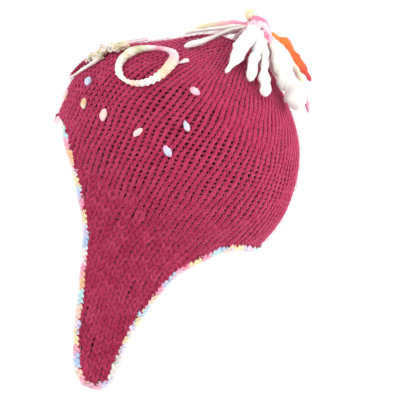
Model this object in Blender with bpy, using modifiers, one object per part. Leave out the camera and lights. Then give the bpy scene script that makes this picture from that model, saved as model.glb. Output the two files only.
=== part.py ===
"""Chullo: a knitted hat with two earflaps, a crocheted edging, a looped flower and a slub tassel.

The wearer looks along -Y with their left at +X, and +Z is up. The origin is the middle of the head opening.
A place on the knitting is an angle round the head, from the forehead at 0 over the left ear to the nape at
180 degrees, and a path, the distance up the fabric from the opening. Paths on the earflaps are negative.
"""
from math import ceil, cos, hypot, pi, radians, sin

import bpy
from mathutils import Vector
from mathutils.geometry import delaunay_2d_cdt

# Head opening and crown
RIM_LENGTH = 0.206
RIM_WIDTH = 0.160
CROWN_HEIGHT = 0.1385
CROWN_TILT = radians(31.0)

# Earflaps: the drop follows the flap, which turns from the crown's tilt to its own lean
FLAP_DROP = 0.182
FLAP_LEAN = radians(5.0)
FLAP_TURN_DROP = 0.091

# Knitting
KNIT_WALL = 0.0045
GATHER_COUNT = 10
GATHER_DEPTH = 0.0035
GATHER_PATH = 0.070

# Crocheted edging
EDGING_THICKNESS = 0.0068

# Flower
LOOP_LENGTH = 0.0395
LOOP_WIDTH = 0.0475
LOOP_THICKNESS = 0.0075
FLOWER_CENTRE_WIDTH = 0.024
FLOWER_CENTRE_HEIGHT = 0.009
FLOWER_ANGLE = radians(27.0)
FLOWER_SHARE_OF_CROWN = 0.39

# Tassel
KNOT_WIDTH = 0.022
KNOT_HEIGHT = 0.021
KNOT_LIFT = 0.017
KNOT_LEAN = 0.0045
NECK_WIDTH = 0.011
TASSEL_REACH = 0.075
LOCK_THICKNESS = 0.010
LOCK_TIP_SHARE = 0.35

# Gap between touching pieces
CLEARANCE = 0.0003

# Fineness of the faceted surfaces
EDGE_STEP = 0.0062
FABRIC_STEP = 0.0125
GATHER_STEPS_PER_FOLD = 4
LOOP_STEPS = 22
LOCK_STEPS = 8
GIRTH_STEPS = 24
SAMPLES_PER_EDGE_ROW = 40
FIRST_ROW_SHARE = 0.8

# Sections of the hat, square to its spine. rise: share of the crown's height, or of the flaps' drop below
# the opening. front, back: reach from the spine, shares of half the opening's length. side: share of half
# its width.
SECTIONS = (
    # rise, front, back, side
    (-1.000, 0.800, 0.800, 0.800),
    (-0.700, 0.860, 0.860, 0.870),
    (-0.400, 0.920, 0.920, 0.940),
    (-0.180, 0.955, 0.960, 0.980),
    (0.000, 0.975, 0.997, 1.000),
    (0.124, 1.000, 1.028, 1.020),
    (0.248, 1.030, 1.033, 1.030),
    (0.373, 1.008, 1.005, 1.010),
    (0.497, 0.940, 0.953, 0.955),
    (0.602, 0.840, 0.882, 0.870),
    (0.702, 0.668, 0.780, 0.755),
    (0.795, 0.508, 0.645, 0.610),
    (0.870, 0.405, 0.520, 0.480),
    (0.932, 0.305, 0.380, 0.350),
    (0.975, 0.190, 0.240, 0.220),
    (1.000, 0.000, 0.000, 0.000),
)

# Edge of the knitting on the left half. angle in degrees from the forehead, drop: share of the flaps' drop.
EDGE = (
    # angle, drop
    (0.0, -0.033),
    (18.0, -0.027),
    (31.0, 0.009),
    (41.0, 0.055),
    (50.0, 0.107),
    (58.0, 0.171),
    (65.0, 0.242),
    (70.3, 0.315),
    (74.0, 0.400),
    (76.6, 0.500),
    (79.2, 0.620),
    (80.4, 0.740),
    (81.9, 0.855),
    (83.8, 0.930),
    (87.3, 0.982),
    (93.0, 1.000),
    (98.0, 0.975),
    (100.3, 0.920),
    (103.0, 0.800),
    (106.2, 0.700),
    (110.9, 0.570),
    (115.3, 0.445),
    (120.8, 0.330),
    (130.0, 0.222),
    (138.0, 0.125),
    (148.5, 0.060),
    (164.0, 0.026),
    (180.0, 0.000),
)

# Locks of the tassel, spread from its knot over the crown. fall: angle in degrees round the top, reach: share
# of the tassel's reach, middle and tip: height over the fabric, shares of the knot's lift, and thicknesses
# along the lock, shares of the lock thickness.
LOCKS = (
    # fall, reach, middle, tip, root thickness, middle thickness, end thickness
    (92.0, 1.00, 0.20, 0.00, 0.80, 1.35, 0.45),
    (109.0, 0.92, 0.20, 0.00, 0.90, 1.00, 0.80),
    (122.0, 1.02, 0.25, 0.00, 0.70, 0.70, 1.05),
    (119.0, 0.48, 0.60, 0.30, 0.60, 0.70, 0.65),
    (144.0, 0.80, 0.35, 0.10, 0.90, 1.00, 0.90),
    (151.0, 1.02, 0.60, 0.25, 0.90, 1.80, 1.10),
    (168.0, 0.55, 0.60, 0.20, 0.50, 0.55, 0.40),
    (180.0, 0.66, 1.05, 1.50, 0.45, 0.80, 0.60),
    (172.0, 0.72, 0.90, 0.95, 0.60, 0.70, 0.65),
    (177.0, 1.00, 0.75, 0.70, 0.50, 0.55, 0.35),
    (4.0, 0.62, 0.30, 0.00, 0.60, 0.50, 0.35),
    (50.0, 0.98, 0.15, 0.00, 0.45, 0.40, 0.55),
    (14.0, 0.74, 0.10, 0.00, 0.40, 0.32, 0.28),
    (30.0, 0.10, 1.05, 1.20, 0.70, 0.90, 0.85),
    (-48.0, 0.75, 0.20, 0.00, 0.60, 0.70, 0.45),
    (-82.0, 0.95, 0.20, 0.00, 0.80, 1.20, 0.60),
    (-108.0, 0.88, 0.25, 0.00, 0.80, 0.90, 0.80),
    (-133.0, 1.00, 0.35, 0.05, 0.80, 1.20, 0.90),
    (-158.0, 0.90, 0.50, 0.10, 0.70, 1.00, 0.60),
)

# Loops of the flower. turn: direction from the flower's centre in degrees, from straight up the crown
# towards the left ear. length, width: shares of the loop length and width. start, middle and end: thickness
# at, beside and opposite the centre, shares of the loop thickness.
LOOPS = (
    # name, turn, length, width, start, middle, end
    ("near", 79.0, 1.00, 1.00, 1.00, 0.75, 1.20),
    ("front", 225.0, 0.95, 0.36, 0.50, 0.45, 0.50),
    ("far", -72.0, 1.05, 0.85, 0.45, 0.42, 0.60),
)


def smooth(knots, values, place):
    """Value at a place on the smooth curve through a table's points."""
    last = len(knots) - 1
    place = min(max(place, knots[0]), knots[last])
    row = 0
    while row < last - 1 and place > knots[row + 1]:
        row += 1

    def slope(index):
        before = max(index - 1, 0)
        after = min(index + 1, last)
        return (values[after] - values[before]) / (knots[after] - knots[before])

    span = knots[row + 1] - knots[row]
    part = (place - knots[row]) / span
    start = (1 + 2 * part) * (1 - part) ** 2 * values[row]
    start += part * (1 - part) ** 2 * span * slope(row)
    end = part * part * (3 - 2 * part) * values[row + 1]
    end += part * part * (part - 1) * span * slope(row + 1)
    return start + end


def section_paths():
    """Path of each section: the distance over the fabric from the opening."""
    places = []
    for rise, front, back, side in SECTIONS:
        height = rise * (CROWN_HEIGHT if rise > 0 else FLAP_DROP)
        reach = (front + back + side) / 3 * RIM_LENGTH / 2
        places.append((height, reach))
    paths = [0.0]
    for (low, low_reach), (high, high_reach) in zip(places, places[1:]):
        paths.append(paths[-1] + hypot(high - low, high_reach - low_reach))
    opening = paths[[row[0] for row in SECTIONS].index(0.0)]
    return [path - opening for path in paths]


def mirrored_past_top(column):
    """A section column with the last row mirrored past the top, so that the crown closes smoothly."""
    sign = 1 if column == 0 else -1
    values = [row[column] for row in SECTIONS]
    return values + [2 * values[-1] - values[-2] if sign > 0 else -values[-2]]


PATHS = section_paths()
TOP_PATH = PATHS[-1]
TIP_PATH = PATHS[0]
FLOWER_PATH = TOP_PATH * FLOWER_SHARE_OF_CROWN
PATH_KNOTS = PATHS + [2 * PATHS[-1] - PATHS[-2]]
RISES, FRONTS, BACKS, SIDES = (mirrored_past_top(column) for column in range(4))
CROWN_AXIS = Vector((0, sin(CROWN_TILT), cos(CROWN_TILT)))
TOP_BACKWARD = Vector((0, cos(CROWN_TILT), -sin(CROWN_TILT)))
FLAP_AXIS = Vector((0, sin(FLAP_LEAN), cos(FLAP_LEAN)))


def spine(rise):
    """Point and direction of the spine: straight up the crown, turning down through the flaps."""
    if rise >= 0:
        return CROWN_AXIS * rise * CROWN_HEIGHT, CROWN_AXIS
    turn = CROWN_AXIS * -FLAP_TURN_DROP
    end = turn - FLAP_AXIS * (FLAP_DROP - FLAP_TURN_DROP)
    down = -rise
    point = turn * 2 * down * (1 - down) + end * down * down
    direction = turn * 2 * (1 - down) + (end - turn) * 2 * down
    return point, -direction.normalized()


def form(angle, path):
    """Point on the middle of the knitting before it is gathered."""
    point, direction = spine(smooth(PATH_KNOTS, RISES, path))
    backward = Vector((0, direction.z, -direction.y))
    reach = smooth(PATH_KNOTS, FRONTS if cos(angle) > 0 else BACKS, path) * RIM_LENGTH / 2
    side = smooth(PATH_KNOTS, SIDES, path) * RIM_WIDTH / 2
    return point - backward * cos(angle) * reach + Vector((sin(angle) * side, 0, 0))


def outward(angle, path):
    """Direction square to the knitting, away from the head."""
    nearby = 0.0005
    if path > TOP_PATH - nearby:
        return CROWN_AXIS
    along = form(angle + nearby, path) - form(angle - nearby, path)
    up = form(angle, path + nearby) - form(angle, path - nearby)
    return along.cross(up).normalized()


def gather(angle, path):
    """Depth of the gathers that draw the crown together under the tassel."""
    share = (path - TOP_PATH + GATHER_PATH) / GATHER_PATH
    if share <= 0 or share >= 1:
        return 0.0
    return GATHER_DEPTH * sin(pi * share) ** 2 * (1 + cos(GATHER_COUNT * angle)) / 2


def over_fabric(angle, path, height):
    """Point at a height over the knitting's outer face."""
    return form(angle, path) + outward(angle, path) * (KNIT_WALL / 2 + height)


def fabric(angle, path):
    """Point on the middle of the gathered knitting."""
    point = form(angle, path) - outward(angle, path) * gather(angle, path)
    on_middle_plane = angle in (0.0, pi)
    return Vector((0.0, point.y, point.z)) if on_middle_plane else point


def even_stations(points, step):
    """Indices into a run of points at even distances."""
    lengths = [0.0]
    for start, end in zip(points, points[1:]):
        lengths.append(lengths[-1] + (end - start).length)
    count = ceil(lengths[-1] / step)
    chosen = []
    for number in range(count + 1):
        target = lengths[-1] * number / count
        chosen.append(min(range(len(points)), key=lambda index: abs(lengths[index] - target)))
    return chosen


def edge_places():
    """Angle and path of each station on the left half of the knitting's edge, from forehead to nape."""
    angles = [radians(row[0]) for row in EDGE]
    paths = [row[1] * TIP_PATH for row in EDGE]
    knots = [0.0]
    for row in range(1, len(EDGE)):
        across = (angles[row] - angles[row - 1]) * RIM_WIDTH / 2
        knots.append(knots[-1] + hypot(across, paths[row] - paths[row - 1]))
    samples = SAMPLES_PER_EDGE_ROW * len(EDGE)
    places = []
    for number in range(samples + 1):
        knot = knots[-1] * number / samples
        places.append((smooth(knots, angles, knot), smooth(knots, paths, knot)))
    chosen = even_stations([form(*place) for place in places], EDGE_STEP)
    return [places[index] for index in chosen]


def half_girth(path):
    """Distance round the left half of the hat at a path."""
    points = [form(pi * step / GIRTH_STEPS, path) for step in range(GIRTH_STEPS + 1)]
    return sum((end - start).length for start, end in zip(points, points[1:]))


def flat(place):
    """Place on the flat layout of the left half: angle times the half width, and path."""
    angle, path = place
    return Vector((angle * RIM_WIDTH / 2, path))


def inside(point, outline):
    """Whether a flat point is within an outline."""
    within = False
    for start, end in zip(outline, outline[1:] + outline[:1]):
        if (start.y > point.y) != (end.y > point.y):
            crossing = start.x + (point.y - start.y) / (end.y - start.y) * (end.x - start.x)
            if point.x < crossing:
                within = not within
    return within


def fabric_rows():
    """Rows of places over the left half, from under the top down past the flap's tip."""
    rows = []
    count = ceil((TOP_PATH - TIP_PATH) / FABRIC_STEP)
    step = (TOP_PATH - TIP_PATH) / count
    for number in range(1, count):
        path = TOP_PATH - step * (number - 1 + FIRST_ROW_SHARE)
        columns = ceil(half_girth(path) / FABRIC_STEP)
        if TOP_PATH - path < GATHER_PATH:
            columns = max(columns, GATHER_COUNT * GATHER_STEPS_PER_FOLD // 2)
            shift = 0.0
        else:
            shift = number % 2 / 2
        angles = [0.0]
        angles += [pi * (column + shift) / columns for column in range(columns) if column + shift > 0]
        angles.append(pi)
        rows.append([(angle, path) for angle in angles])
    return rows


def fill_layout(edge):
    """Places and triangles that fill the left half, from its edge up to the gathered top."""
    rows = fabric_rows()
    margin = FABRIC_STEP / 2
    top = rows[0]
    nape_side = [row[-1] for row in rows[1:] if row[-1][1] > edge[-1][1] + margin]
    brow_side = [row[0] for row in rows[1:] if row[0][1] > edge[0][1] + margin]
    outline = edge + nape_side[::-1] + top[::-1] + brow_side
    flat_outline = [flat(place) for place in outline]
    flat_edge = [flat(place) for place in edge]
    places = list(outline)
    for row in rows[1:]:
        for place in row[1:-1]:
            spot = flat(place)
            if inside(spot, flat_outline) and min((spot - other).length for other in flat_edge) > margin:
                places.append(place)
    rim = [(number, (number + 1) % len(outline)) for number in range(len(outline))]
    inner_only = 1
    tolerance = 1e-7
    _, _, triangles, *_ = delaunay_2d_cdt([flat(place) for place in places], rim, [], inner_only, tolerance)
    crown_top = len(places)
    places.append((0.0, TOP_PATH))
    first = len(edge) + len(nape_side)
    for number in range(first, first + len(top) - 1):
        triangles.append((number + 1, number, crown_top))
    return places, triangles


def material(name, colour, roughness):
    """Material with the piece's colour and roughness."""
    result = bpy.data.materials.new(name)
    result.use_nodes = True
    shader = result.node_tree.nodes["Principled BSDF"]
    shader.inputs["Base Color"].default_value = (*colour, 1.0)
    shader.inputs["Roughness"].default_value = roughness
    shader.inputs["Metallic"].default_value = 0.0
    return result


def add_mesh(name, collection, points, faces, finish):
    """Object with a mesh of the given points and faces."""
    mesh = bpy.data.meshes.new(name)
    mesh.from_pydata(points, [], faces)
    mesh.materials.append(finish)
    piece = bpy.data.objects.new(name, mesh)
    collection.objects.link(piece)
    mesh.shade_smooth()
    return piece


def add_strand(name, collection, points, radii, finish, closed):
    """Round strand through the points, with a radius at each."""
    curve = bpy.data.curves.new(name, "CURVE")
    curve.dimensions = "3D"
    curve.bevel_depth = 1.0
    curve.bevel_resolution = 2
    curve.use_fill_caps = not closed
    curve.materials.append(finish)
    spline = curve.splines.new("POLY")
    spline.points.add(len(points) - 1)
    spline.use_cyclic_u = closed
    for knot, point, radius in zip(spline.points, points, radii):
        knot.co = (*point, 1.0)
        knot.radius = radius
    piece = bpy.data.objects.new(name, curve)
    collection.objects.link(piece)
    return piece


def make_knit_body(collection, edge):
    """Crown and both earflaps, knitted in one: the left half is mirrored and given its thickness."""
    wool = material("raspberry_wool", (0.58, 0.045, 0.127), 0.9)
    places, triangles = fill_layout(edge)
    body = add_mesh("knit_body", collection, [fabric(*place) for place in places], triangles, wool)
    mirror = body.modifiers.new("right_half", "MIRROR")
    mirror.use_clip = True
    mirror.merge_threshold = 0.00001
    wall = body.modifiers.new("wall", "SOLIDIFY")
    wall.thickness = KNIT_WALL
    wall.offset = 0.0
    wall.use_even_offset = True
    return body


def edging_line(edge):
    """Middle of the edging: it lies against the knitting's edge all the way round."""
    points = [form(*place) for place in edge]
    standoff = EDGING_THICKNESS / 2 + CLEARANCE
    line = []
    for number, place in enumerate(edge):
        if number == 0 or number == len(edge) - 1:
            along = Vector((1.0 if number == 0 else -1.0, 0, 0))
        else:
            along = points[number + 1] - points[number - 1]
        away = along.cross(outward(*place)).normalized()
        line.append(points[number] + away * standoff)
    mirrored = [Vector((-point.x, point.y, point.z)) for point in line[-2:0:-1]]
    return line + mirrored


def make_edging(collection, edge):
    """Crocheted cord round the rim and both flaps."""
    yarn = material("variegated_yarn", (0.85, 0.62, 0.66), 0.85)
    line = edging_line(edge)
    radii = [EDGING_THICKNESS / 2] * len(line)
    return add_strand("edging", collection, line, radii, yarn, closed=True)


def make_flower_loop(collection, row, finish):
    """One petal: a closed loop of yarn lying on the crown, beside the flower's centre."""
    name, turn, length, width, start_share, middle, end = row
    turn = radians(turn)
    knots = [0.0, 0.25, 0.5, 0.75, 1.0]
    thickness = [LOOP_THICKNESS * share for share in (start_share, middle, end, middle, start_share)]
    start = FLOWER_CENTRE_WIDTH / 2 + CLEARANCE + thickness[0] / 2
    girth = half_girth(FLOWER_PATH) / pi
    points = []
    radii = []
    for step in range(LOOP_STEPS):
        share = step / LOOP_STEPS
        radius = smooth(knots, thickness, share) / 2
        ahead = start + LOOP_LENGTH * length * (1 - cos(2 * pi * share)) / 2
        across = LOOP_WIDTH * width * sin(2 * pi * share) / 2
        up = ahead * cos(turn) - across * sin(turn)
        aside = ahead * sin(turn) + across * cos(turn)
        angle = FLOWER_ANGLE + aside / girth
        points.append(over_fabric(angle, FLOWER_PATH + up, radius + CLEARANCE))
        radii.append(radius)
    return add_strand(f"flower_loop_{name}", collection, points, radii, finish, closed=True)


def make_flower_centre(collection, finish):
    """Knobbly knot where the loops meet, a flattened ball seated on the crown."""
    bpy.ops.mesh.primitive_ico_sphere_add(subdivisions=3, radius=1.0)
    centre = bpy.context.object
    centre.name = "flower_centre"
    knob_count = 5
    knob_share = 0.08
    for vertex in centre.data.vertices:
        direction = vertex.co.normalized()
        knobs = sin(knob_count * direction.x) * sin(knob_count * direction.y)
        vertex.co = direction * (1 - knob_share * (1 + knobs) / 2)
    up = outward(FLOWER_ANGLE, FLOWER_PATH)
    size = Vector((FLOWER_CENTRE_WIDTH, FLOWER_CENTRE_WIDTH, FLOWER_CENTRE_HEIGHT)) / 2
    for vertex in centre.data.vertices:
        vertex.co = vertex.co * size
    centre.rotation_mode = "QUATERNION"
    centre.rotation_quaternion = up.to_track_quat("Z", "Y")
    centre.location = over_fabric(FLOWER_ANGLE, FLOWER_PATH, FLOWER_CENTRE_HEIGHT / 2 + CLEARANCE)
    centre.data.materials.append(finish)
    centre.data.shade_smooth()
    move_to(centre, collection)
    return centre


def move_to(piece, collection):
    """Keep an object in one collection only."""
    for holder in list(piece.users_collection):
        holder.objects.unlink(piece)
    collection.objects.link(piece)


def as_mesh(strand):
    """The strand's evaluated shape as a closed mesh object of the same name."""
    weld = strand.modifiers.new("weld", "WELD")
    weld.merge_threshold = 0.00001
    evaluated = strand.evaluated_get(bpy.context.evaluated_depsgraph_get())
    mesh = bpy.data.meshes.new_from_object(evaluated)
    piece = bpy.data.objects.new(strand.name, mesh)
    piece.matrix_world = strand.matrix_world
    strand.users_collection[0].objects.link(piece)
    bpy.data.objects.remove(strand)
    return piece


def make_lock(collection, number, row, finish):
    """One lock, from inside the knot out over the crown."""
    fall, reach, middle_lift, tip_lift, root, middle, end = row
    knots = [0.0, 0.5, 0.9, 1.0]
    thickness = [LOCK_THICKNESS * share for share in (root, middle, end, end * LOCK_TIP_SHARE)]
    lifts = [KNOT_LIFT, KNOT_LIFT * middle_lift, KNOT_LIFT * tip_lift]
    points = []
    radii = []
    for step in range(LOCK_STEPS + 1):
        share = step / LOCK_STEPS
        radius = smooth(knots, thickness, share) / 2
        lift = smooth([0.0, 0.5, 1.0], lifts, share)
        path = TOP_PATH - TASSEL_REACH * reach * share
        lean = TOP_BACKWARD * KNOT_LEAN * (1 - share) ** 2
        points.append(over_fabric(radians(fall), path, lift + radius + 2 * CLEARANCE) + lean)
        radii.append(radius)
    return as_mesh(add_strand(f"lock_{number}", collection, points, radii, finish, closed=False))


def make_tassel(collection, joined):
    """Wrapped knot on a short neck, with every lock joined to it."""
    slub = material("slub_yarn", (0.86, 0.80, 0.78), 0.85)
    top = form(0.0, TOP_PATH)
    seat = top + CROWN_AXIS * (KNIT_WALL / 2 + CLEARANCE)
    middle = seat + CROWN_AXIS * KNOT_LIFT + TOP_BACKWARD * KNOT_LEAN
    bpy.ops.mesh.primitive_ico_sphere_add(subdivisions=2, radius=0.5, location=middle)
    tassel = bpy.context.object
    tassel.name = "tassel"
    for vertex in tassel.data.vertices:
        vertex.co = vertex.co * Vector((KNOT_WIDTH, KNOT_WIDTH, KNOT_HEIGHT))
    turn = CROWN_AXIS.to_track_quat("Z", "Y")
    tassel.rotation_mode = "QUATERNION"
    tassel.rotation_quaternion = turn
    tassel.data.materials.append(slub)
    move_to(tassel, collection)
    bpy.ops.mesh.primitive_cylinder_add(
        vertices=12, radius=NECK_WIDTH / 2, depth=KNOT_LIFT, location=seat + CROWN_AXIS * KNOT_LIFT / 2
    )
    neck = bpy.context.object
    neck.name = "tassel_neck"
    neck.rotation_mode = "QUATERNION"
    neck.rotation_quaternion = turn
    move_to(neck, joined)
    for number, row in enumerate(LOCKS):
        make_lock(joined, number, row, slub)
    for piece in joined.objects:
        piece.hide_render = True
        piece.display_type = "WIRE"
    union = tassel.modifiers.new("locks", "BOOLEAN")
    union.operation = "UNION"
    union.operand_type = "COLLECTION"
    union.collection = joined
    union.solver = "EXACT"
    return tassel


def clear_scene():
    """Remove whatever the scene holds."""
    for piece in list(bpy.data.objects):
        bpy.data.objects.remove(piece)


def main():
    clear_scene()
    hat = bpy.data.collections.new("chullo")
    joined = bpy.data.collections.new("tassel_joined")
    bpy.context.scene.collection.children.link(hat)
    bpy.context.scene.collection.children.link(joined)
    edge = edge_places()
    make_knit_body(hat, edge)
    make_edging(hat, edge)
    petal_yarn = material("petal_yarn", (0.85, 0.72, 0.66), 0.85)
    for row in LOOPS:
        make_flower_loop(hat, row, petal_yarn)
    make_flower_centre(hat, petal_yarn)
    make_tassel(hat, joined)


if __name__ == "__main__":
    main()
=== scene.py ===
"""Finish of the chullo: real knitted loops, crocheted edging, slub flower and tassel, stage and camera."""

from math import cos, pi, radians, sin

import bpy
import numpy as np
from bpy.props import FloatProperty, FloatVectorProperty, IntProperty, PointerProperty
from bpy.types import Operator, Panel, PropertyGroup
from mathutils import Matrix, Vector


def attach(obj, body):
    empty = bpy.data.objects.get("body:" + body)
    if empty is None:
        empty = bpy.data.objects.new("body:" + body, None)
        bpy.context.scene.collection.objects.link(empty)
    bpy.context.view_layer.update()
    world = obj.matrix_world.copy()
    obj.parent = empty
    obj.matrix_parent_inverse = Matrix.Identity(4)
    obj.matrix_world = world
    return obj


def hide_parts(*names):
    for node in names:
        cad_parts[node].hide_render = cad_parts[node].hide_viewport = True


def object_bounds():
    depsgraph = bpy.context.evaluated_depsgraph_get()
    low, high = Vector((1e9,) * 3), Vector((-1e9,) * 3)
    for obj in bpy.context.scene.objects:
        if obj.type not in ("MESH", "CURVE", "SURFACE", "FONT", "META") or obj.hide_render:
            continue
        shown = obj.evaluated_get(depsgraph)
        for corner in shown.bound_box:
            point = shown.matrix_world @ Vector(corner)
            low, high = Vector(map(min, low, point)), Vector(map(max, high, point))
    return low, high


bl_info = {
    "name": "Chullo finish",
    "version": (1, 0, 0),
    "blender": (4, 5, 0),
    "location": "View3D > Sidebar > Chullo",
    "description": "Knits, edges and trims the chullo over its packed solids",
    "category": "Object",
}

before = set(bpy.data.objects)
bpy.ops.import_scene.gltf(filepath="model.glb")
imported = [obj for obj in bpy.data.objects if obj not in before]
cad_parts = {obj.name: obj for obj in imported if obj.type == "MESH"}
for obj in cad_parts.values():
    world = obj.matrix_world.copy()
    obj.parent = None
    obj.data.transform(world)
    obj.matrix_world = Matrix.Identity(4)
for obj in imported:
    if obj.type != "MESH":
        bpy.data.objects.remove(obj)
CAD_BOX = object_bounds()
SEED = 41

# Sections of the hat, square to its spine. rise: share of the crown's height, or of the flaps' drop below
# the opening. front, back: reach from the spine, shares of half the opening's length. side: share of half
# its width.
SECTIONS = np.array((
    # rise, front, back, side
    (-1.000, 0.800, 0.800, 0.800),
    (-0.700, 0.860, 0.860, 0.870),
    (-0.400, 0.920, 0.920, 0.940),
    (-0.180, 0.955, 0.960, 0.980),
    (0.000, 0.975, 0.997, 1.000),
    (0.124, 1.000, 1.028, 1.020),
    (0.248, 1.030, 1.033, 1.030),
    (0.373, 1.008, 1.005, 1.010),
    (0.497, 0.940, 0.953, 0.955),
    (0.602, 0.840, 0.882, 0.870),
    (0.702, 0.668, 0.780, 0.755),
    (0.795, 0.508, 0.645, 0.610),
    (0.870, 0.405, 0.520, 0.480),
    (0.932, 0.305, 0.380, 0.350),
    (0.975, 0.190, 0.240, 0.220),
    (1.000, 0.000, 0.000, 0.000),
))

# Edge of the knitting on the left half. angle in degrees from the forehead, drop: share of the flaps' drop.
EDGE = np.array((
    # angle, drop
    (0.0, -0.033),
    (18.0, -0.027),
    (31.0, 0.009),
    (41.0, 0.055),
    (50.0, 0.107),
    (58.0, 0.171),
    (65.0, 0.242),
    (70.3, 0.315),
    (74.0, 0.400),
    (76.6, 0.500),
    (79.2, 0.620),
    (80.4, 0.740),
    (81.9, 0.855),
    (83.8, 0.930),
    (87.3, 0.982),
    (93.0, 1.000),
    (98.0, 0.975),
    (100.3, 0.920),
    (103.0, 0.800),
    (106.2, 0.700),
    (110.9, 0.570),
    (115.3, 0.445),
    (120.8, 0.330),
    (130.0, 0.222),
    (138.0, 0.125),
    (148.5, 0.060),
    (164.0, 0.026),
    (180.0, 0.000),
))

# How far the wales of a flap spread from its middle line, compared with the crown's.
SPREAD = np.array((
    # drop, spread
    (0.00, 1.00),
    (0.15, 0.88),
    (0.29, 0.79),
    (0.42, 0.76),
    (1.00, 0.76),
))
FLAP_MIDDLE = radians(92.0)
FLAP_JOIN = -0.032
FLAP_SHEAR = 1.4

# The crease beside the tassel: its angle, width and depth, then its start and fading as shares of the path.
CREASE_ANGLE = radians(33.0)
CREASE_WIDTH = radians(14.0)
CREASE_DEPTH = 0.0040
CREASE_START = 0.60
CREASE_FADE = 0.14

# How far the stitches reach under the edging
EDGE_OVERLAP = 0.0018

# Wales left after each round of decreases. share: share of the path from the opening to the top.
DECREASES = np.array((
    # share, wales
    (0.60, 104),
    (0.64, 96),
    (0.68, 88),
    (0.71, 80),
    (0.74, 72),
    (0.77, 64),
    (0.80, 56),
    (0.83, 48),
    (0.86, 40),
    (0.89, 32),
    (0.92, 24),
    (0.95, 16),
    (0.975, 8),
))

# Yarn colours by name, as seen
PALETTE = {
    "pink": (0.90, 0.36, 0.52),
    "pale_pink": (0.95, 0.68, 0.74),
    "rose": (0.86, 0.24, 0.42),
    "peach": (0.95, 0.66, 0.52),
    "yellow": (0.93, 0.80, 0.45),
    "orange": (0.93, 0.55, 0.30),
    "lilac": (0.72, 0.62, 0.84),
    "blue": (0.50, 0.66, 0.88),
    "aqua": (0.52, 0.80, 0.84),
    "ivory": (0.93, 0.90, 0.82),
    "white": (0.89, 0.88, 0.87),
    "stone": (0.74, 0.72, 0.68),
    "ochre": (0.80, 0.70, 0.48),
    "olive": (0.62, 0.60, 0.38),
    "marigold": (0.90, 0.33, 0.07),
    "tangerine": (0.86, 0.16, 0.045),
    "crimson": (0.62, 0.04, 0.10),
    "wine": (0.42, 0.04, 0.13),
    "wool": (0.38, 0.015, 0.07),
}

# Colour runs of the edging, from the forehead over the left flap to the nape, as shares of that length.
EDGING_RUNS = (
    # share, colour
    (0.000, "rose"),
    (0.030, "pale_pink"),
    (0.060, "ivory"),
    (0.085, "aqua"),
    (0.110, "pink"),
    (0.135, "orange"),
    (0.160, "lilac"),
    (0.185, "yellow"),
    (0.205, "blue"),
    (0.225, "pink"),
    (0.245, "yellow"),
    (0.270, "lilac"),
    (0.290, "blue"),
    (0.310, "ivory"),
    (0.330, "pink"),
    (0.355, "orange"),
    (0.380, "aqua"),
    (0.405, "peach"),
    (0.430, "lilac"),
    (0.450, "yellow"),
    (0.470, "pink"),
    (0.490, "blue"),
    (0.510, "peach"),
    (0.530, "pink"),
    (0.550, "lilac"),
    (0.570, "ivory"),
    (0.590, "stone"),
    (0.610, "lilac"),
    (0.630, "yellow"),
    (0.650, "lilac"),
    (0.670, "yellow"),
    (0.690, "blue"),
    (0.710, "peach"),
    (0.730, "pink"),
    (0.750, "blue"),
    (0.770, "pale_pink"),
    (0.790, "rose"),
    (0.810, "yellow"),
    (0.830, "pink"),
    (0.850, "aqua"),
    (0.870, "blue"),
    (0.890, "peach"),
    (0.910, "yellow"),
    (0.930, "lilac"),
    (0.950, "pale_pink"),
    (0.970, "aqua"),
    (1.000, "ivory"),
)

# Loops of the flower. turn: direction from the flower's centre in degrees, from straight up the crown
# towards the left ear. length, width: shares of the loop length and width. start, middle, end: thickness at,
# beside and opposite the centre, shares of the loop thickness.
LOOPS = (
    # name, turn, length, width, start, middle, end
    ("near", 79.0, 1.00, 1.00, 1.00, 0.75, 1.20),
    ("front", 225.0, 0.95, 0.36, 0.50, 0.45, 0.50),
    ("far", -72.0, 1.05, 0.85, 0.45, 0.42, 0.60),
)

# Yarn of each flower loop from the centre round. share: of the loop, thickness: share of the loop's own there.
PETAL_YARN = {
    "near": (
        # share, thickness, colour
        (0.00, 0.80, "ochre"),
        (0.06, 1.15, "ivory"),
        (0.15, 1.25, "ivory"),
        (0.22, 0.80, "ivory"),
        (0.28, 0.75, "peach"),
        (0.34, 0.80, "ivory"),
        (0.40, 0.80, "ivory"),
        (0.46, 0.85, "ochre"),
        (0.53, 1.05, "peach"),
        (0.60, 1.20, "pale_pink"),
        (0.68, 1.05, "pale_pink"),
        (0.76, 0.80, "pale_pink"),
        (0.82, 0.75, "pink"),
        (0.87, 0.85, "ivory"),
        (0.93, 0.95, "olive"),
        (1.00, 1.00, "ivory"),
    ),
    "front": (
        # share, thickness, colour
        (0.00, 1.20, "ochre"),
        (0.08, 1.10, "peach"),
        (0.16, 1.05, "wine"),
        (0.45, 1.10, "wool"),
        (0.55, 0.80, "pale_pink"),
        (0.70, 0.55, "ivory"),
        (0.85, 0.85, "ivory"),
        (1.00, 1.30, "peach"),
    ),
    "far": (
        # share, thickness, colour
        (0.00, 1.00, "ivory"),
        (0.10, 0.70, "pale_pink"),
        (0.50, 0.60, "stone"),
        (0.85, 0.65, "pale_pink"),
        (1.00, 1.00, "peach"),
    ),
}

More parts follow.
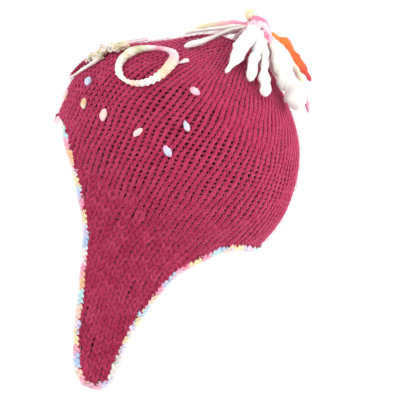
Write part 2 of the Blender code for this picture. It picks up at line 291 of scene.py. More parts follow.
# Locks of the tassel. fall: angle in degrees round the top, reach: share of the tassel's reach, middle and
# tip: height over the fabric, shares of the knot's lift, then thicknesses as shares of the lock thickness.
LOCKS = (
    # fall, reach, middle, tip, root, middle, end, colours from the knot out
    (92.0, 1.00, 0.20, 0.00, 0.80, 1.35, 0.45, ("white", "white")),
    (109.0, 0.92, 0.20, 0.00, 0.90, 1.00, 0.80, ("white", "white")),
    (122.0, 1.02, 0.25, 0.00, 0.70, 0.70, 1.05, ("peach", "ivory", "white")),
    (119.0, 0.48, 0.60, 0.30, 0.60, 0.70, 0.65, ("pale_pink", "white")),
    (144.0, 0.80, 0.35, 0.10, 0.90, 1.00, 0.90, ("ivory", "ivory", "stone")),
    (151.0, 1.02, 0.36, 0.22, 0.50, 1.20, 1.60, ("white", "white", "stone")),
    (168.0, 0.55, 0.60, 0.20, 0.50, 0.55, 0.40, ("yellow", "ochre", "ivory")),
    (180.0, 0.70, 0.86, 1.30, 0.24, 1.10, 0.56, ("yellow", "marigold", "tangerine", "tangerine", "crimson")),
    (172.0, 0.72, 0.78, 0.84, 0.50, 0.62, 0.55, ("pink", "white", "ochre")),
    (177.0, 1.00, 0.75, 0.70, 0.50, 0.55, 0.35, ("pink", "pale_pink", "pink")),
    (4.0, 0.62, 0.30, 0.00, 0.60, 0.50, 0.35, ("pink", "pink", "ochre", "yellow")),
    (50.0, 0.98, 0.06, 0.00, 0.36, 0.27, 0.52, ("ivory", "stone", "white")),
    (14.0, 0.74, 0.10, 0.00, 0.40, 0.32, 0.28, ("ivory", "ivory")),
    (-48.0, 0.75, 0.20, 0.00, 0.60, 0.70, 0.45, ("pale_pink", "white")),
    (-82.0, 0.95, 0.20, 0.00, 0.80, 1.20, 0.60, ("white", "white")),
    (-108.0, 0.88, 0.25, 0.00, 0.80, 0.90, 0.80, ("peach", "white")),
    (-133.0, 1.00, 0.35, 0.05, 0.80, 1.20, 0.90, ("white", "ivory")),
    (-158.0, 0.90, 0.50, 0.10, 0.70, 1.00, 0.60, ("pink", "pale_pink")),
)

# Small embroidered knots. angle in degrees, path in metres, turn of the knot on the fabric in degrees,
# length and width: shares of a common knot's, taper: how much thinner the first end is.
DOTS = (
    # angle, path, turn, length, width, taper, colours
    (30.9, 0.0433, 5.0, 0.85, 1.15, 0.0, ("lilac", "blue", "lilac")),
    (36.7, 0.0261, 5.0, 0.95, 0.95, 0.0, ("peach", "orange", "ivory")),
    (51.8, 0.0261, -8.0, 1.20, 1.10, 0.0, ("pale_pink", "peach", "pale_pink")),
    (71.7, 0.0279, -50.0, 1.10, 1.00, 0.0, ("peach", "pale_pink", "peach")),
    (87.6, 0.0274, 32.0, 1.10, 1.20, 0.1, ("pink", "lilac", "blue", "pink")),
    (88.9, 0.0533, 20.0, 1.05, 1.25, 0.6, ("pink", "aqua", "lilac", "stone")),
    (83.1, 0.0835, 50.0, 1.00, 1.10, 0.0, ("pink", "pale_pink", "pink")),
    (62.7, 0.1049, 115.0, 1.50, 1.00, 0.9, ("pale_pink", "white", "white")),
    (12.9, 0.0246, 0.0, 0.90, 0.90, 0.0, ("pale_pink", "peach")),
    (-20.0, 0.0300, 30.0, 1.00, 1.00, 0.0, ("lilac", "blue")),
    (-44.0, 0.0290, -20.0, 0.90, 0.95, 0.0, ("peach", "ivory")),
    (-66.0, 0.0310, 50.0, 1.10, 1.05, 0.3, ("pale_pink", "lilac")),
    (-88.0, 0.0280, -30.0, 1.00, 0.95, 0.0, ("ivory", "peach")),
    (-80.0, 0.0600, 15.0, 1.00, 1.00, 0.4, ("pink", "pale_pink")),
)


class ChulloSizes(PropertyGroup):
    """Sizes that a user may change"""

    rim_length: FloatProperty(
        name="Opening length", description="Head opening, forehead to nape",
        default=0.206, unit="LENGTH",
    )
    rim_width: FloatProperty(
        name="Opening width", description="Head opening, ear to ear", default=0.160, unit="LENGTH",
    )
    crown_height: FloatProperty(
        name="Crown height", description="From the opening to the top, along the crown",
        default=0.1385, unit="LENGTH",
    )
    crown_tilt: FloatProperty(
        name="Crown tilt", description="How far the crown leans back", default=radians(31.0), subtype="ANGLE",
    )
    flap_drop: FloatProperty(
        name="Flap drop", description="Length of the earflaps below the opening",
        default=0.182, unit="LENGTH",
    )
    flap_turn_drop: FloatProperty(
        name="Flap turn", description="Drop at which the flaps turn upright", default=0.091, unit="LENGTH",
    )
    flap_lean: FloatProperty(
        name="Flap lean", description="How far the flaps' ends lean", default=radians(5.0), subtype="ANGLE",
    )
    wall: FloatProperty(
        name="Wall", description="Thickness of the knitting", default=0.0045, unit="LENGTH",
    )
    wales: IntProperty(
        name="Wales", description="Columns of stitches round the opening", default=108,
    )
    course: FloatProperty(
        name="Course", description="Height of one row of stitches", default=0.0042, unit="LENGTH",
    )
    yarn: FloatProperty(
        name="Yarn", description="Thickness of the wool yarn", default=0.0020, unit="LENGTH",
    )
    flap_course: FloatProperty(
        name="Flap course", description="Height of one row of the flaps' larger stitches",
        default=0.0051, unit="LENGTH",
    )
    flap_yarn: FloatProperty(
        name="Flap yarn", description="Thickness of the yarn in the flaps", default=0.0030, unit="LENGTH",
    )
    flap_row_shift: FloatProperty(
        name="Flap row shift", description="How much lower the flaps' rows lie towards the nape",
        default=-0.018, unit="LENGTH",
    )
    row_shift: FloatProperty(
        name="Row shift", description="How much higher the rows of stitches lie at the nape than at the side",
        default=0.035, unit="LENGTH",
    )
    gather_depth: FloatProperty(
        name="Gather depth", description="Depth of the folds under the tassel",
        default=0.0035, unit="LENGTH",
    )
    gather_path: FloatProperty(
        name="Gather length", description="How far down the folds reach", default=0.070, unit="LENGTH",
    )
    gather_count: IntProperty(
        name="Gathers", description="Folds round the top", default=10,
    )
    edging: FloatProperty(
        name="Edging", description="Thickness of the crocheted edging", default=0.0068, unit="LENGTH",
    )
    loop_length: FloatProperty(
        name="Loop length", description="Length of a flower loop", default=0.0395, unit="LENGTH",
    )
    loop_width: FloatProperty(
        name="Loop width", description="Width of a flower loop", default=0.0475, unit="LENGTH",
    )
    loop_thickness: FloatProperty(
        name="Loop yarn", description="Thickness of the flower's yarn", default=0.0075, unit="LENGTH",
    )
    flower_angle: FloatProperty(
        name="Flower angle", description="Place of the flower round the head",
        default=radians(27.0), subtype="ANGLE",
    )
    flower_path: FloatProperty(
        name="Flower height", description="Place of the flower up the crown", default=0.076, unit="LENGTH",
    )
    knot_lift: FloatProperty(
        name="Knot lift", description="Height of the tassel's knot", default=0.017, unit="LENGTH",
    )
    knot_lean: FloatProperty(
        name="Knot lean", description="How far the knot leans back", default=0.0045, unit="LENGTH",
    )
    tassel_reach: FloatProperty(
        name="Tassel reach", description="Length of the longest locks over the crown",
        default=0.075, unit="LENGTH",
    )
    lock_thickness: FloatProperty(
        name="Lock thickness", description="Thickness of a full lock", default=0.010, unit="LENGTH",
    )


class ChulloColours(PropertyGroup):
    """Colours that a user may change"""

    wool: FloatVectorProperty(
        name="Wool", description="Raspberry wool in full light", subtype="COLOR", size=3,
        default=(0.465, 0.024, 0.084), min=0.0, max=1.0,
    )
    # Painted shade of the wool between the stitches, also the colour of the dark backing behind them
    wool_painted_shade: FloatVectorProperty(
        name="Deep wool", description="Wool between the stitches", subtype="COLOR", size=3,
        default=(0.065, 0.001, 0.012), min=0.0, max=1.0,
    )
    wool_tip: FloatVectorProperty(
        name="Fuzz", description="Loose fibres that catch the light", subtype="COLOR", size=3,
        default=(0.66, 0.085, 0.200), min=0.0, max=1.0,
    )
    floor: FloatVectorProperty(
        name="Floor", description="Pale studio floor", subtype="COLOR", size=3,
        default=(0.97, 0.97, 0.97), min=0.0, max=1.0,
    )


def smooth(knots, values, places):
    """Values at places on the smooth curve through a table's points."""
    knots = np.asarray(knots, float)
    values = np.asarray(values, float)
    slopes = np.gradient(values, knots)
    slopes[1:-1] = (values[2:] - values[:-2]) / (knots[2:] - knots[:-2])
    places = np.clip(places, knots[0], knots[-1])
    row = np.clip(np.searchsorted(knots, places) - 1, 0, len(knots) - 2)
    span = knots[row + 1] - knots[row]
    part = (places - knots[row]) / span
    start = (1 + 2 * part) * (1 - part) ** 2 * values[row] + part * (1 - part) ** 2 * span * slopes[row]
    end = part * part * (3 - 2 * part) * values[row + 1] + part * part * (part - 1) * span * slopes[row + 1]
    return start + end


def unit(vectors):
    """Vectors of length one."""
    return vectors / np.maximum(np.linalg.norm(vectors, axis=-1, keepdims=True), 1e-12)


def running(steps):
    """Distance from the start at each end of the steps."""
    return np.concatenate(([0.0], np.cumsum(steps)))


def turned_in(angle):
    """Angles brought between -pi and pi."""
    return (np.asarray(angle) + pi) % (2 * pi) - pi


def paired(angle, path):
    """Angles and paths as arrays of one length."""
    return np.broadcast_arrays(np.atleast_1d(angle).astype(float), np.atleast_1d(path).astype(float))


# Steps for finding directions square to the wall, and how far short of the top they are taken
ANGLE_STEP = 0.002
PATH_STEP = 0.0004
TOP_GAP = 0.0009


class Form:
    """The hat's form: angle round the head and path up the fabric give a place."""

    def __init__(self, sizes):
        self.sizes = sizes
        rise = SECTIONS[:, 0]
        height = rise * np.where(rise > 0, sizes.crown_height, sizes.flap_drop)
        reach = SECTIONS[:, 1:].mean(axis=1) * sizes.rim_length / 2
        paths = running(np.hypot(np.diff(height), np.diff(reach)))
        paths -= paths[list(rise).index(0.0)]
        self.top = paths[-1]
        self.tip = paths[0]
        self.knots = np.append(paths, 2 * paths[-1] - paths[-2])
        mirrored = -SECTIONS[-2]
        mirrored[0] = 2 * rise[-1] - rise[-2]
        self.table = np.vstack((SECTIONS, mirrored))
        tilt = sizes.crown_tilt
        lean = sizes.flap_lean
        self.axis = np.array((0.0, sin(tilt), cos(tilt)))
        self.flap_axis = np.array((0.0, sin(lean), cos(lean)))
        self.edge_angles, self.edge_paths = self.edge_line()

    def edge_line(self):
        """Angle and path along the left half of the knitting's edge."""
        angles = np.radians(EDGE[:, 0])
        paths = EDGE[:, 1] * self.tip
        steps = np.hypot(np.diff(angles) * self.sizes.rim_width / 2, np.diff(paths))
        knots = running(steps)
        places = np.linspace(0, knots[-1], 1200)
        return smooth(knots, angles, places), smooth(knots, paths, places)

    def spine(self, rise):
        """Points and directions of the spine."""
        sizes = self.sizes
        down = np.clip(-rise, 0, 1)[:, None]
        turn = -self.axis * sizes.flap_turn_drop
        end = turn - self.flap_axis * (sizes.flap_drop - sizes.flap_turn_drop)
        points = 2 * down * (1 - down) * turn + down * down * end
        directions = -unit(2 * (1 - down) * turn + 2 * down * (end - turn))
        crown = (rise >= 0)[:, None]
        points = np.where(crown, rise[:, None] * sizes.crown_height * self.axis, points)
        return points, np.where(crown, self.axis, directions)

    def smooth_point(self, angle, path):
        """Points on the middle of the wall, before the gathers."""
        angle, path = paired(angle, path)
        rise, front, back, side = (smooth(self.knots, self.table[:, column], path) for column in range(4))
        point, direction = self.spine(rise)
        backward = np.stack((np.zeros(len(angle)), direction[:, 2], -direction[:, 1]), axis=1)
        reach = np.where(np.cos(angle) > 0, front, back) * self.sizes.rim_length / 2
        point = point - backward * (np.cos(angle) * reach)[:, None]
        point[:, 0] += np.sin(angle) * side * self.sizes.rim_width / 2
        return point

    def outward(self, angle, path):
        """Directions square to the wall."""
        angle, path = paired(angle, path)
        path = np.minimum(path, self.top - TOP_GAP)
        along = self.smooth_point(angle + ANGLE_STEP, path) - self.smooth_point(angle - ANGLE_STEP, path)
        up = self.smooth_point(angle, path + PATH_STEP) - self.smooth_point(angle, path - PATH_STEP)
        return unit(np.cross(along, up))

    def gather(self, angle, path):
        """Depth of the gathers under the tassel."""
        sizes = self.sizes
        share = np.clip((path - self.top + sizes.gather_path) / sizes.gather_path, 0, 1)
        folds = sizes.gather_depth * np.sin(pi * share) ** 2 * (1 + np.cos(sizes.gather_count * angle)) / 2
        return folds + CREASE_DEPTH * self.crease(angle, path)

    def crease(self, angle, path):
        """How far a place lies in the crease beside the tassel, from 0 to 1."""
        across = np.exp(-((np.asarray(angle) - CREASE_ANGLE) / CREASE_WIDTH) ** 2)
        rise = np.clip((path / self.top - CREASE_START) / CREASE_FADE, 0, 1)
        fall = np.clip((1 - path / self.top) / CREASE_FADE, 0, 1)
        return across * (3 - 2 * rise) * rise ** 2 * (3 - 2 * fall) * fall ** 2

    def even_angles(self, shares):
        """Angles at shares of the way round the head, nape to nape, measured along the opening."""
        angles = np.linspace(-pi, pi, 721)
        steps = np.linalg.norm(np.diff(self.smooth_point(angles, 0.0), axis=0), axis=1)
        lengths = running(steps)
        return np.interp(shares, lengths / lengths[-1], angles)

    def place(self, angle, path, height, gathered=True):
        """Points at a height over the middle of the wall, and their outward directions."""
        normal = self.outward(angle, path)
        lift = np.asarray(height) - (self.gather(angle, path) if gathered else 0.0)
        return self.smooth_point(angle, path) + normal * np.broadcast_to(lift, len(normal))[:, None], normal

    def edge_path(self, angle):
        """Path of the knitting's edge at an angle."""
        folded = np.abs(turned_in(angle))
        return np.interp(folded, self.edge_angles, self.edge_paths)

    def inside_edge(self, angle, path):
        """Whether places lie on the knitting, or so little past its edge that the edging hides them."""
        folded = np.abs(turned_in(angle))
        inward = folded + np.sign(FLAP_MIDDLE - folded) * EDGE_OVERLAP * 2 / self.sizes.rim_width
        return path > self.edge_path(inward) - EDGE_OVERLAP

    def edging_line(self, steps, standoff):
        """Even points along the closed line outside the knitting's edge, with outward directions and lengths."""
        angles = np.concatenate((self.edge_angles, -self.edge_angles[-2:0:-1]))
        paths = np.concatenate((self.edge_paths, self.edge_paths[-2:0:-1]))
        points = self.smooth_point(angles, paths)
        closed = np.vstack((points, points[:1]))
        lengths = running(np.linalg.norm(np.diff(closed, axis=0), axis=1))
        wanted = np.linspace(0, lengths[-1], steps, endpoint=False)
        angles = np.interp(wanted, lengths, np.append(np.unwrap(angles), 2 * pi))
        paths = np.interp(wanted, lengths, np.append(paths, paths[0]))
        points = self.smooth_point(angles, paths)
        along = unit(np.roll(points, -1, axis=0) - np.roll(points, 1, axis=0))
        normal = self.outward(angles, paths)
        away = unit(np.cross(along, normal))
        return points + away * standoff, along, away, normal, wanted / lengths[-1]


def mesh_piece(name, points, faces, values=None, colours=None):
    """Mesh object of equal faces from arrays, with the point values and colours that its material reads."""
    mesh = bpy.data.meshes.new(name)
    points = np.ascontiguousarray(points, dtype=np.float32)
    faces = np.ascontiguousarray(faces, dtype=np.int32)
    corners = faces.shape[1]
    mesh.vertices.add(len(points))
    mesh.vertices.foreach_set("co", points.ravel())
    mesh.loops.add(faces.size)
    mesh.loops.foreach_set("vertex_index", faces.ravel())
    mesh.polygons.add(len(faces))
    mesh.polygons.foreach_set("loop_start", np.arange(0, faces.size, corners, dtype=np.int32))
    mesh.update(calc_edges=True)
    for key, numbers in (values or {}).items():
        layer = mesh.attributes.new(key, "FLOAT", "POINT")
        layer.data.foreach_set("value", np.ascontiguousarray(numbers, dtype=np.float32))
    if colours is not None:
        layer = mesh.attributes.new("yarn_colour", "FLOAT_COLOR", "POINT")
        rgba = np.ones((len(points), 4), dtype=np.float32)
        rgba[:, :3] = colours
        layer.data.foreach_set("color", rgba.ravel())
    mesh.shade_smooth()
    piece = bpy.data.objects.new(name, mesh)
    bpy.context.scene.collection.objects.link(piece)
    return piece


class Strands:
    """Round strands gathered into one mesh: rings of points along each path."""

    def __init__(self, sides):
        self.sides = sides
        self.points = []
        self.faces = []
        self.values = {}
        self.colours = []
        self.count = 0

    def add(self, path, radii, reference, closed=False, values=None, colours=None, profile=None):
        """A strand along a path; reference is the side that each ring turns to, profile scales its points."""
        path = np.asarray(path, float)
        rings = len(path)
        if closed:
            along = unit(np.roll(path, -1, axis=0) - np.roll(path, 1, axis=0))
        else:
            along = unit(np.gradient(path, axis=0))
        reference = np.broadcast_to(reference, path.shape)
        aside = unit(np.cross(along, reference))
        up = np.cross(aside, along)
        turn = np.linspace(0, 2 * pi, self.sides, endpoint=False)
        radii = np.broadcast_to(radii, rings)[:, None, None]
        if profile is not None:
            radii = radii * profile[:, :, None]
        ring = aside[:, None] * np.cos(turn)[None, :, None] + up[:, None] * np.sin(turn)[None, :, None]
        points = path[:, None] + ring * radii
        self.points.append(points.reshape(-1, 3))
        ring_count = rings if closed else rings - 1
        start = np.arange(ring_count)[:, None] * self.sides
        following = (start + self.sides) % (rings * self.sides)
        side = np.arange(self.sides)[None, :]
        after = (side + 1) % self.sides
        quads = np.stack((start + side, following + side, following + after, start + after), axis=-1)
        self.faces.append(quads.reshape(-1, 4)[:, ::-1] + self.count)
        if not closed and self.sides <= 8:
            for ring_start, order in ((0, 1), ((rings - 1) * self.sides, -1)):
                cap = ring_start + np.arange(self.sides)
                self.faces.append(self.cap(cap, order) + self.count)
        for key, numbers in (values or {}).items():
            spread = np.repeat(np.broadcast_to(numbers, rings), self.sides)
            self.values.setdefault(key, []).append(spread)
        # facing: 1 on the side of each ring turned to the reference and 0 opposite; the wool material paints shade
        # from it
        self.values.setdefault("facing", []).append(np.tile(0.5 + 0.5 * np.sin(turn), rings))
        if colours is not None:
            self.colours.append(np.repeat(np.broadcast_to(colours, (rings, 3)), self.sides, axis=0))
        self.count += rings * self.sides

    def cap(self, ring, order):
        """Quads that close the end of a strand with up to eight sides."""
        ring = ring[::order]
        quads = [ring[[0, 1, 2, 3]]]
        if len(ring) == 5:
            quads.append(ring[[0, 3, 4, 4]])
        if len(ring) == 6:
            quads.append(ring[[0, 3, 4, 5]])
        if len(ring) == 8:
            quads.append(ring[[0, 3, 4, 7]])
            quads.append(ring[[4, 5, 6, 7]])
        return np.array([quad for quad in quads if len(set(quad)) == 4])

    def piece(self, name):
        """The mesh object of every strand."""
        values = {key: np.concatenate(numbers) for key, numbers in self.values.items()}
        colours = np.concatenate(self.colours) if self.colours else None
        return mesh_piece(name, np.concatenate(self.points), np.concatenate(self.faces), values, colours)


def colour_run(names, shares, stops=None):
    """Yarn colours at shares of a run through the named colours, which lie evenly or at their stops."""
    stops = np.linspace(0, 1, len(names)) if stops is None else stops
    colours = np.array([PALETTE[name] for name in names])
    return np.stack([np.interp(shares, stops, colours[:, channel]) for channel in range(3)], axis=-1)


def wavy(random, count, waves):
    """A smooth random line between -1 and 1."""
    knots = random.uniform(-1, 1, waves + 2)
    return smooth(np.linspace(0, 1, waves + 2), knots, np.linspace(0, 1, count))


# Materials

def node(tree, kind, **settings):
    """A node with its settings and plain input values."""
    made = tree.nodes.new(kind)
    for key, value in settings.items():
        if key in made.inputs:
            made.inputs[key].default_value = value
        else:
            setattr(made, key, value)
    return made


def fibre_group():
    """Wool fibre effect: a mottled tone and a hairy height, shared by every yarn."""
    name = "wool_fibre"
    if name in bpy.data.node_groups:
        return bpy.data.node_groups[name]
    tree = bpy.data.node_groups.new(name, "ShaderNodeTree")
    face = tree.interface
    hair = face.new_socket("Hair Scale", in_out="INPUT", socket_type="NodeSocketFloat")
    hair.default_value = 2600.0
    mottle = face.new_socket("Mottle Scale", in_out="INPUT", socket_type="NodeSocketFloat")
    mottle.default_value = 90.0
    face.new_socket("Tone", in_out="OUTPUT", socket_type="NodeSocketFloat")
    face.new_socket("Height", in_out="OUTPUT", socket_type="NodeSocketFloat")
    given = tree.nodes.new("NodeGroupInput")
    result = tree.nodes.new("NodeGroupOutput")
    place = tree.nodes.new("ShaderNodeTexCoord")
    fine = node(tree, "ShaderNodeTexNoise", Detail=3.0, Roughness=0.65, Distortion=1.2)
    broad = node(tree, "ShaderNodeTexNoise", Detail=2.0, Roughness=0.5)
    tree.links.new(place.outputs["Object"], fine.inputs["Vector"])
    tree.links.new(place.outputs["Object"], broad.inputs["Vector"])
    tree.links.new(given.outputs["Hair Scale"], fine.inputs["Scale"])
    tree.links.new(given.outputs["Mottle Scale"], broad.inputs["Scale"])
    both = node(tree, "ShaderNodeMath", operation="ADD")
    half = node(tree, "ShaderNodeMath", operation="MULTIPLY")
    half.inputs[1].default_value = 0.5
    tree.links.new(fine.outputs["Fac"], both.inputs[0])
    tree.links.new(broad.outputs["Fac"], both.inputs[1])
    tree.links.new(both.outputs[0], half.inputs[0])
    tree.links.new(half.outputs[0], result.inputs["Tone"])
    tree.links.new(fine.outputs["Fac"], result.inputs["Height"])
    return tree


def yarn_shader(name, roughness, sheen, sheen_tint):
    """An empty yarn material with its shader, and the fibre group placed in it."""
    material = bpy.data.materials.new(name)
    material.use_nodes = True
    tree = material.node_tree
    shader = tree.nodes["Principled BSDF"]
    shader.inputs["Roughness"].default_value = roughness
    shader.inputs["Specular IOR Level"].default_value = 0.25
    shader.inputs["Sheen Weight"].default_value = sheen
    shader.inputs["Sheen Roughness"].default_value = 0.32
    shader.inputs["Sheen Tint"].default_value = (*sheen_tint, 1.0)
    fibre = tree.nodes.new("ShaderNodeGroup")
    fibre.node_tree = fibre_group()
    bump = node(tree, "ShaderNodeBump", Strength=0.35, Distance=0.0004)
    tree.links.new(fibre.outputs["Height"], bump.inputs["Height"])
    tree.links.new(bump.outputs["Normal"], shader.inputs["Normal"])
    return material, tree, shader, fibre


def wool_material(colours, name, wool):
    """Raspberry wool with painted shade, dark deep between the stitches; fuller on top, mottled and softly hairy.
    """
    material, tree, shader, fibre = yarn_shader(name, 0.92, 1.0, (1.0, 0.40, 0.66))
    depth = node(tree, "ShaderNodeAttribute", attribute_name="depth")
    tone = node(tree, "ShaderNodeAttribute", attribute_name="tone")
    # Painted shade: full wool where the yarn lies high, darkening towards the painted wool shade where it lies
    # deep
    layers = tree.nodes.new("ShaderNodeValToRGB")
    ramp = layers.color_ramp
    ramp.elements[0].position = 0.0
    ramp.elements[0].color = (*(wool * 0.60 + Vector(colours.wool_painted_shade) * 0.40), 1.0)
    ramp.elements[1].position = 1.0
    ramp.elements[1].color = (*wool, 1.0)
    middle = ramp.elements.new(0.42)
    middle.color = (*(wool * 0.48 + Vector(colours.wool_painted_shade) * 0.52), 1.0)
    # Painted shade on the side of each strand turned away from the outside of the wall
    facing = node(tree, "ShaderNodeAttribute", attribute_name="facing")
    turned = node(tree, "ShaderNodeMapRange")
    turned.inputs["To Min"].default_value = 0.45
    tree.links.new(facing.outputs["Fac"], turned.inputs["Value"])
    seen = node(tree, "ShaderNodeMath", operation="MULTIPLY")
    tree.links.new(depth.outputs["Fac"], seen.inputs[0])
    tree.links.new(turned.outputs["Result"], seen.inputs[1])
    tree.links.new(seen.outputs[0], layers.inputs["Fac"])
    # Random mottle lifts the colour towards the lighter fuzz colour: painted highlights of loose fibres that catch
    # the light
    varied = node(tree, "ShaderNodeMath", operation="MULTIPLY_ADD")
    varied.inputs[1].default_value = 0.35
    tree.links.new(tone.outputs["Fac"], varied.inputs[0])
    tree.links.new(fibre.outputs["Tone"], varied.inputs[2])
    lift = node(tree, "ShaderNodeMapRange")
    lift.inputs["From Min"].default_value = 0.35
    lift.inputs["From Max"].default_value = 0.85
    lift.inputs["To Max"].default_value = 0.40
    tree.links.new(varied.outputs[0], lift.inputs["Value"])
    mix = node(tree, "ShaderNodeMix", data_type="RGBA", blend_type="MIX")
    tree.links.new(lift.outputs["Result"], mix.inputs["Factor"])
    tree.links.new(layers.outputs["Color"], mix.inputs[6])
    mix.inputs[7].default_value = (*colours.wool_tip, 1.0)
    tree.links.new(mix.outputs[2], shader.inputs["Base Color"])
    return material


def shade_backing_material(colours):
    """Dark backing of painted shade behind the stitches, seen only in the gaps and faintly inside."""
    material, tree, shader, fibre = yarn_shader("painted_shade_backing", 0.95, 0.05, (1.0, 0.5, 0.7))
    mix = node(tree, "ShaderNodeMix", data_type="RGBA", blend_type="MIX")
    mix.inputs[6].default_value = (*colours.wool_painted_shade, 1.0)
    mix.inputs[7].default_value = (*(Vector(colours.wool) * 0.35), 1.0)
    tree.links.new(fibre.outputs["Tone"], mix.inputs["Factor"])
    tree.links.new(mix.outputs[2], shader.inputs["Base Color"])
    return material


def coloured_material(name, roughness, sheen, contrast):
    """Yarn that takes its colour from the piece, mottled by its fibres."""
    material, tree, shader, fibre = yarn_shader(name, roughness, sheen, (1.0, 0.95, 0.95))
    colour = node(tree, "ShaderNodeAttribute", attribute_name="yarn_colour")
    tone = node(tree, "ShaderNodeMapRange")
    tone.inputs["From Min"].default_value = 0.3
    tone.inputs["From Max"].default_value = 0.7
    tone.inputs["To Min"].default_value = 1.0 - contrast
    tone.inputs["To Max"].default_value = 1.0 + contrast * 0.4
    mix = node(tree, "ShaderNodeVectorMath", operation="SCALE")
    tree.links.new(fibre.outputs["Tone"], tone.inputs["Value"])
    tree.links.new(colour.outputs["Color"], mix.inputs[0])
    tree.links.new(tone.outputs["Result"], mix.inputs["Scale"])
    tree.links.new(mix.outputs[0], shader.inputs["Base Color"])
    return material


# Crossings of a fibre, as shares of its length
FIBRE_SHARES = (0.0, 0.35, 0.7, 1.0)
FIBRE_POINTS = 2 * len(FIBRE_SHARES)


def fibres(seats, normals, lengths, rises, width, random):
    """Points and faces of thin bent ribbons that stand on seats."""
    count = len(seats)
    way = unit(np.cross(random.normal(size=(count, 3)), normals))
    bend = np.cross(normals, way) * random.uniform(-0.6, 0.6, count)[:, None]
    rows = []
    for share in FIBRE_SHARES:
        height = rises * lengths * np.sin(2.2 * share)
        middle = seats + way * (lengths * share)[:, None] + normals * height[:, None]
        middle = middle + bend * (lengths * share ** 2)[:, None]
        half = unit(np.cross(way, normals) + normals) * width * (1 - 0.6 * share) / 2
        rows.append(np.stack((middle - half, middle + half), axis=1))
    points = np.stack(rows, axis=1).reshape(-1, 3)
    first = np.arange(count)[:, None] * FIBRE_POINTS + np.arange(len(FIBRE_SHARES) - 1)[None] * 2
    faces = np.stack((first, first + 1, first + 3, first + 2), axis=-1).reshape(-1, 4)
    return points, faces


def finish_piece(piece, material, slot, *nodes):
    """Give a piece its material and its body, and hide the solids that it stands for. The slot is not used."""
    piece.data.materials.append(material)
    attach(piece, "root")
    if nodes:
        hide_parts(*nodes)


# Knitting

LOOP_STEPS = 10
YARN_SIDES = 5

# Wale widths, in yarn thicknesses, at which the ladders between the wales start to open and are fully open,
# then how far the legs of a stitch draw together and how much they slant when tight and when open
TIGHT_WALE = 2.15
OPEN_WALE = 2.65
TIGHT_INSET = 0.015
OPEN_INSET = 0.170
TIGHT_SPLAY = 0.275
OPEN_SPLAY = 0.190

# Height of a stitch in courses, its depth in wall thicknesses, and how the yarn swells on its legs and on the
# bars that cross the ladders
LOOP_RISE = 0.95
LOOP_DEPTH = 0.17
LEG_SWELL = 0.24
BAR_RISE = 1.20
BAR_SWELL = 0.28

# Where the rows turn level, how the crown's stitches open and meet the flaps', how full the yarn lies in a
# wale, how much painted shade darkens the flaps' stitches, and how far short of the top the knitting ends
ROWS_LEVEL_UP_TO = 0.25
CROWN_ROWS_BELOW = 8
CROWN_OPENS = 0.020
CROWN_LEAST_OPEN = 0.75
CROWN_JOIN_OPEN = 0.50
FRONT_TIGHTER = 0.65
CROWN_FILL = 0.250
FLAP_LEAST_FILL = 0.245
FLAP_FILL = 0.300
FLAP_PAINTED_SHADE = 0.72
CLOSED_END = 0.002

# Rows of the crown in its lowest piece, and in its lower two
CROWN_BANDS = (24, 37)

# Dark backing of painted shade behind the stitches: its grid, and the heights of its two faces over the middle of
# the wall
BACKING_COLUMNS = 180
BACKING_ROWS = 48
BACKING_HEIGHTS = (-0.0012, -0.0017)


def wrapped(angles):
    """Angles round the head with the neighbour of each end added, so that the round closes."""
    return np.concatenate((angles[-1:] - 2 * pi, angles, angles[:1] + 2 * pi))


def all_courses(form, sizes):
    """Each course from under the flaps to the top: path, angles of its wale borders, kind, least and most open."""
    middles = form.even_angles((np.arange(sizes.wales) + 0.5) / sizes.wales)
    flap_borders = form.even_angles(np.arange(0, sizes.wales + 1, 2) / sizes.wales)
    flap_rows = int((FLAP_JOIN - form.tip) / sizes.flap_course) + 3
    courses = []
    for number in range(flap_rows, 0, -1):
        path = FLAP_JOIN - (number - 0.5) * sizes.flap_course
        courses.append((path, flap_borders, "flap", 0.0, 0.0))
    for number in range(-CROWN_ROWS_BELOW, int((form.top - FLAP_JOIN) / sizes.course)):
        path = FLAP_JOIN + (number + 0.5) * sizes.course
        wanted = sizes.wales
        for share, wales in DECREASES:
            if path / form.top >= share:
                wanted = int(wales)
        lost = len(middles) - wanted
        if lost > 0:
            keep = np.ones(len(middles), bool)
            for place in (np.arange(lost) + 0.5) * len(middles) / lost:
                pick = int(place)
                keep[pick] = False
                middles[pick - 1] = (middles[pick - 1] + middles[pick]) / 2
            middles = middles[keep]
        ring = wrapped(middles)
        if len(middles) < sizes.wales:
            for _ in range(3):
                middles = middles * 0.6 + (ring[:-2] + ring[2:]) * 0.2
                ring = wrapped(middles)
        most = np.interp(path, (FLAP_JOIN, CROWN_OPENS), (CROWN_JOIN_OPEN, 1.0))
        courses.append((path, (ring[1:] + ring[:-1]) / 2, "crown", min(CROWN_LEAST_OPEN, most), most))
    return courses


def flap_angle(angle, path, form):
    """Angle of a wale in the flaps, where the wales draw together towards the middle line."""
    drop = np.clip(path / form.tip, 0, 1)
    spread = smooth(SPREAD[:, 0], SPREAD[:, 1], drop)
    folded = turned_in(angle)
    side = np.where(folded >= 0, 1.0, -1.0)
    slant = FLAP_SHEAR * np.minimum(path - FLAP_JOIN, 0)
    drawn = side * (FLAP_MIDDLE + (np.abs(folded) - FLAP_MIDDLE) * spread + slant)
    return np.where(path < 0, drawn, angle)


def unevenness(angle, path):
    """Slow, small wandering of the stitches, as hand knitting has: shares of a wale and of a course."""
    across = 0.16 * np.sin(5 * angle + 61 * path + 1.3) + 0.12 * np.sin(13 * angle - 143 * path + 0.4)
    along = 0.14 * np.sin(7 * angle + 97 * path + 2.1) + 0.12 * np.sin(17 * angle - 71 * path + 5.2)
    return across, along


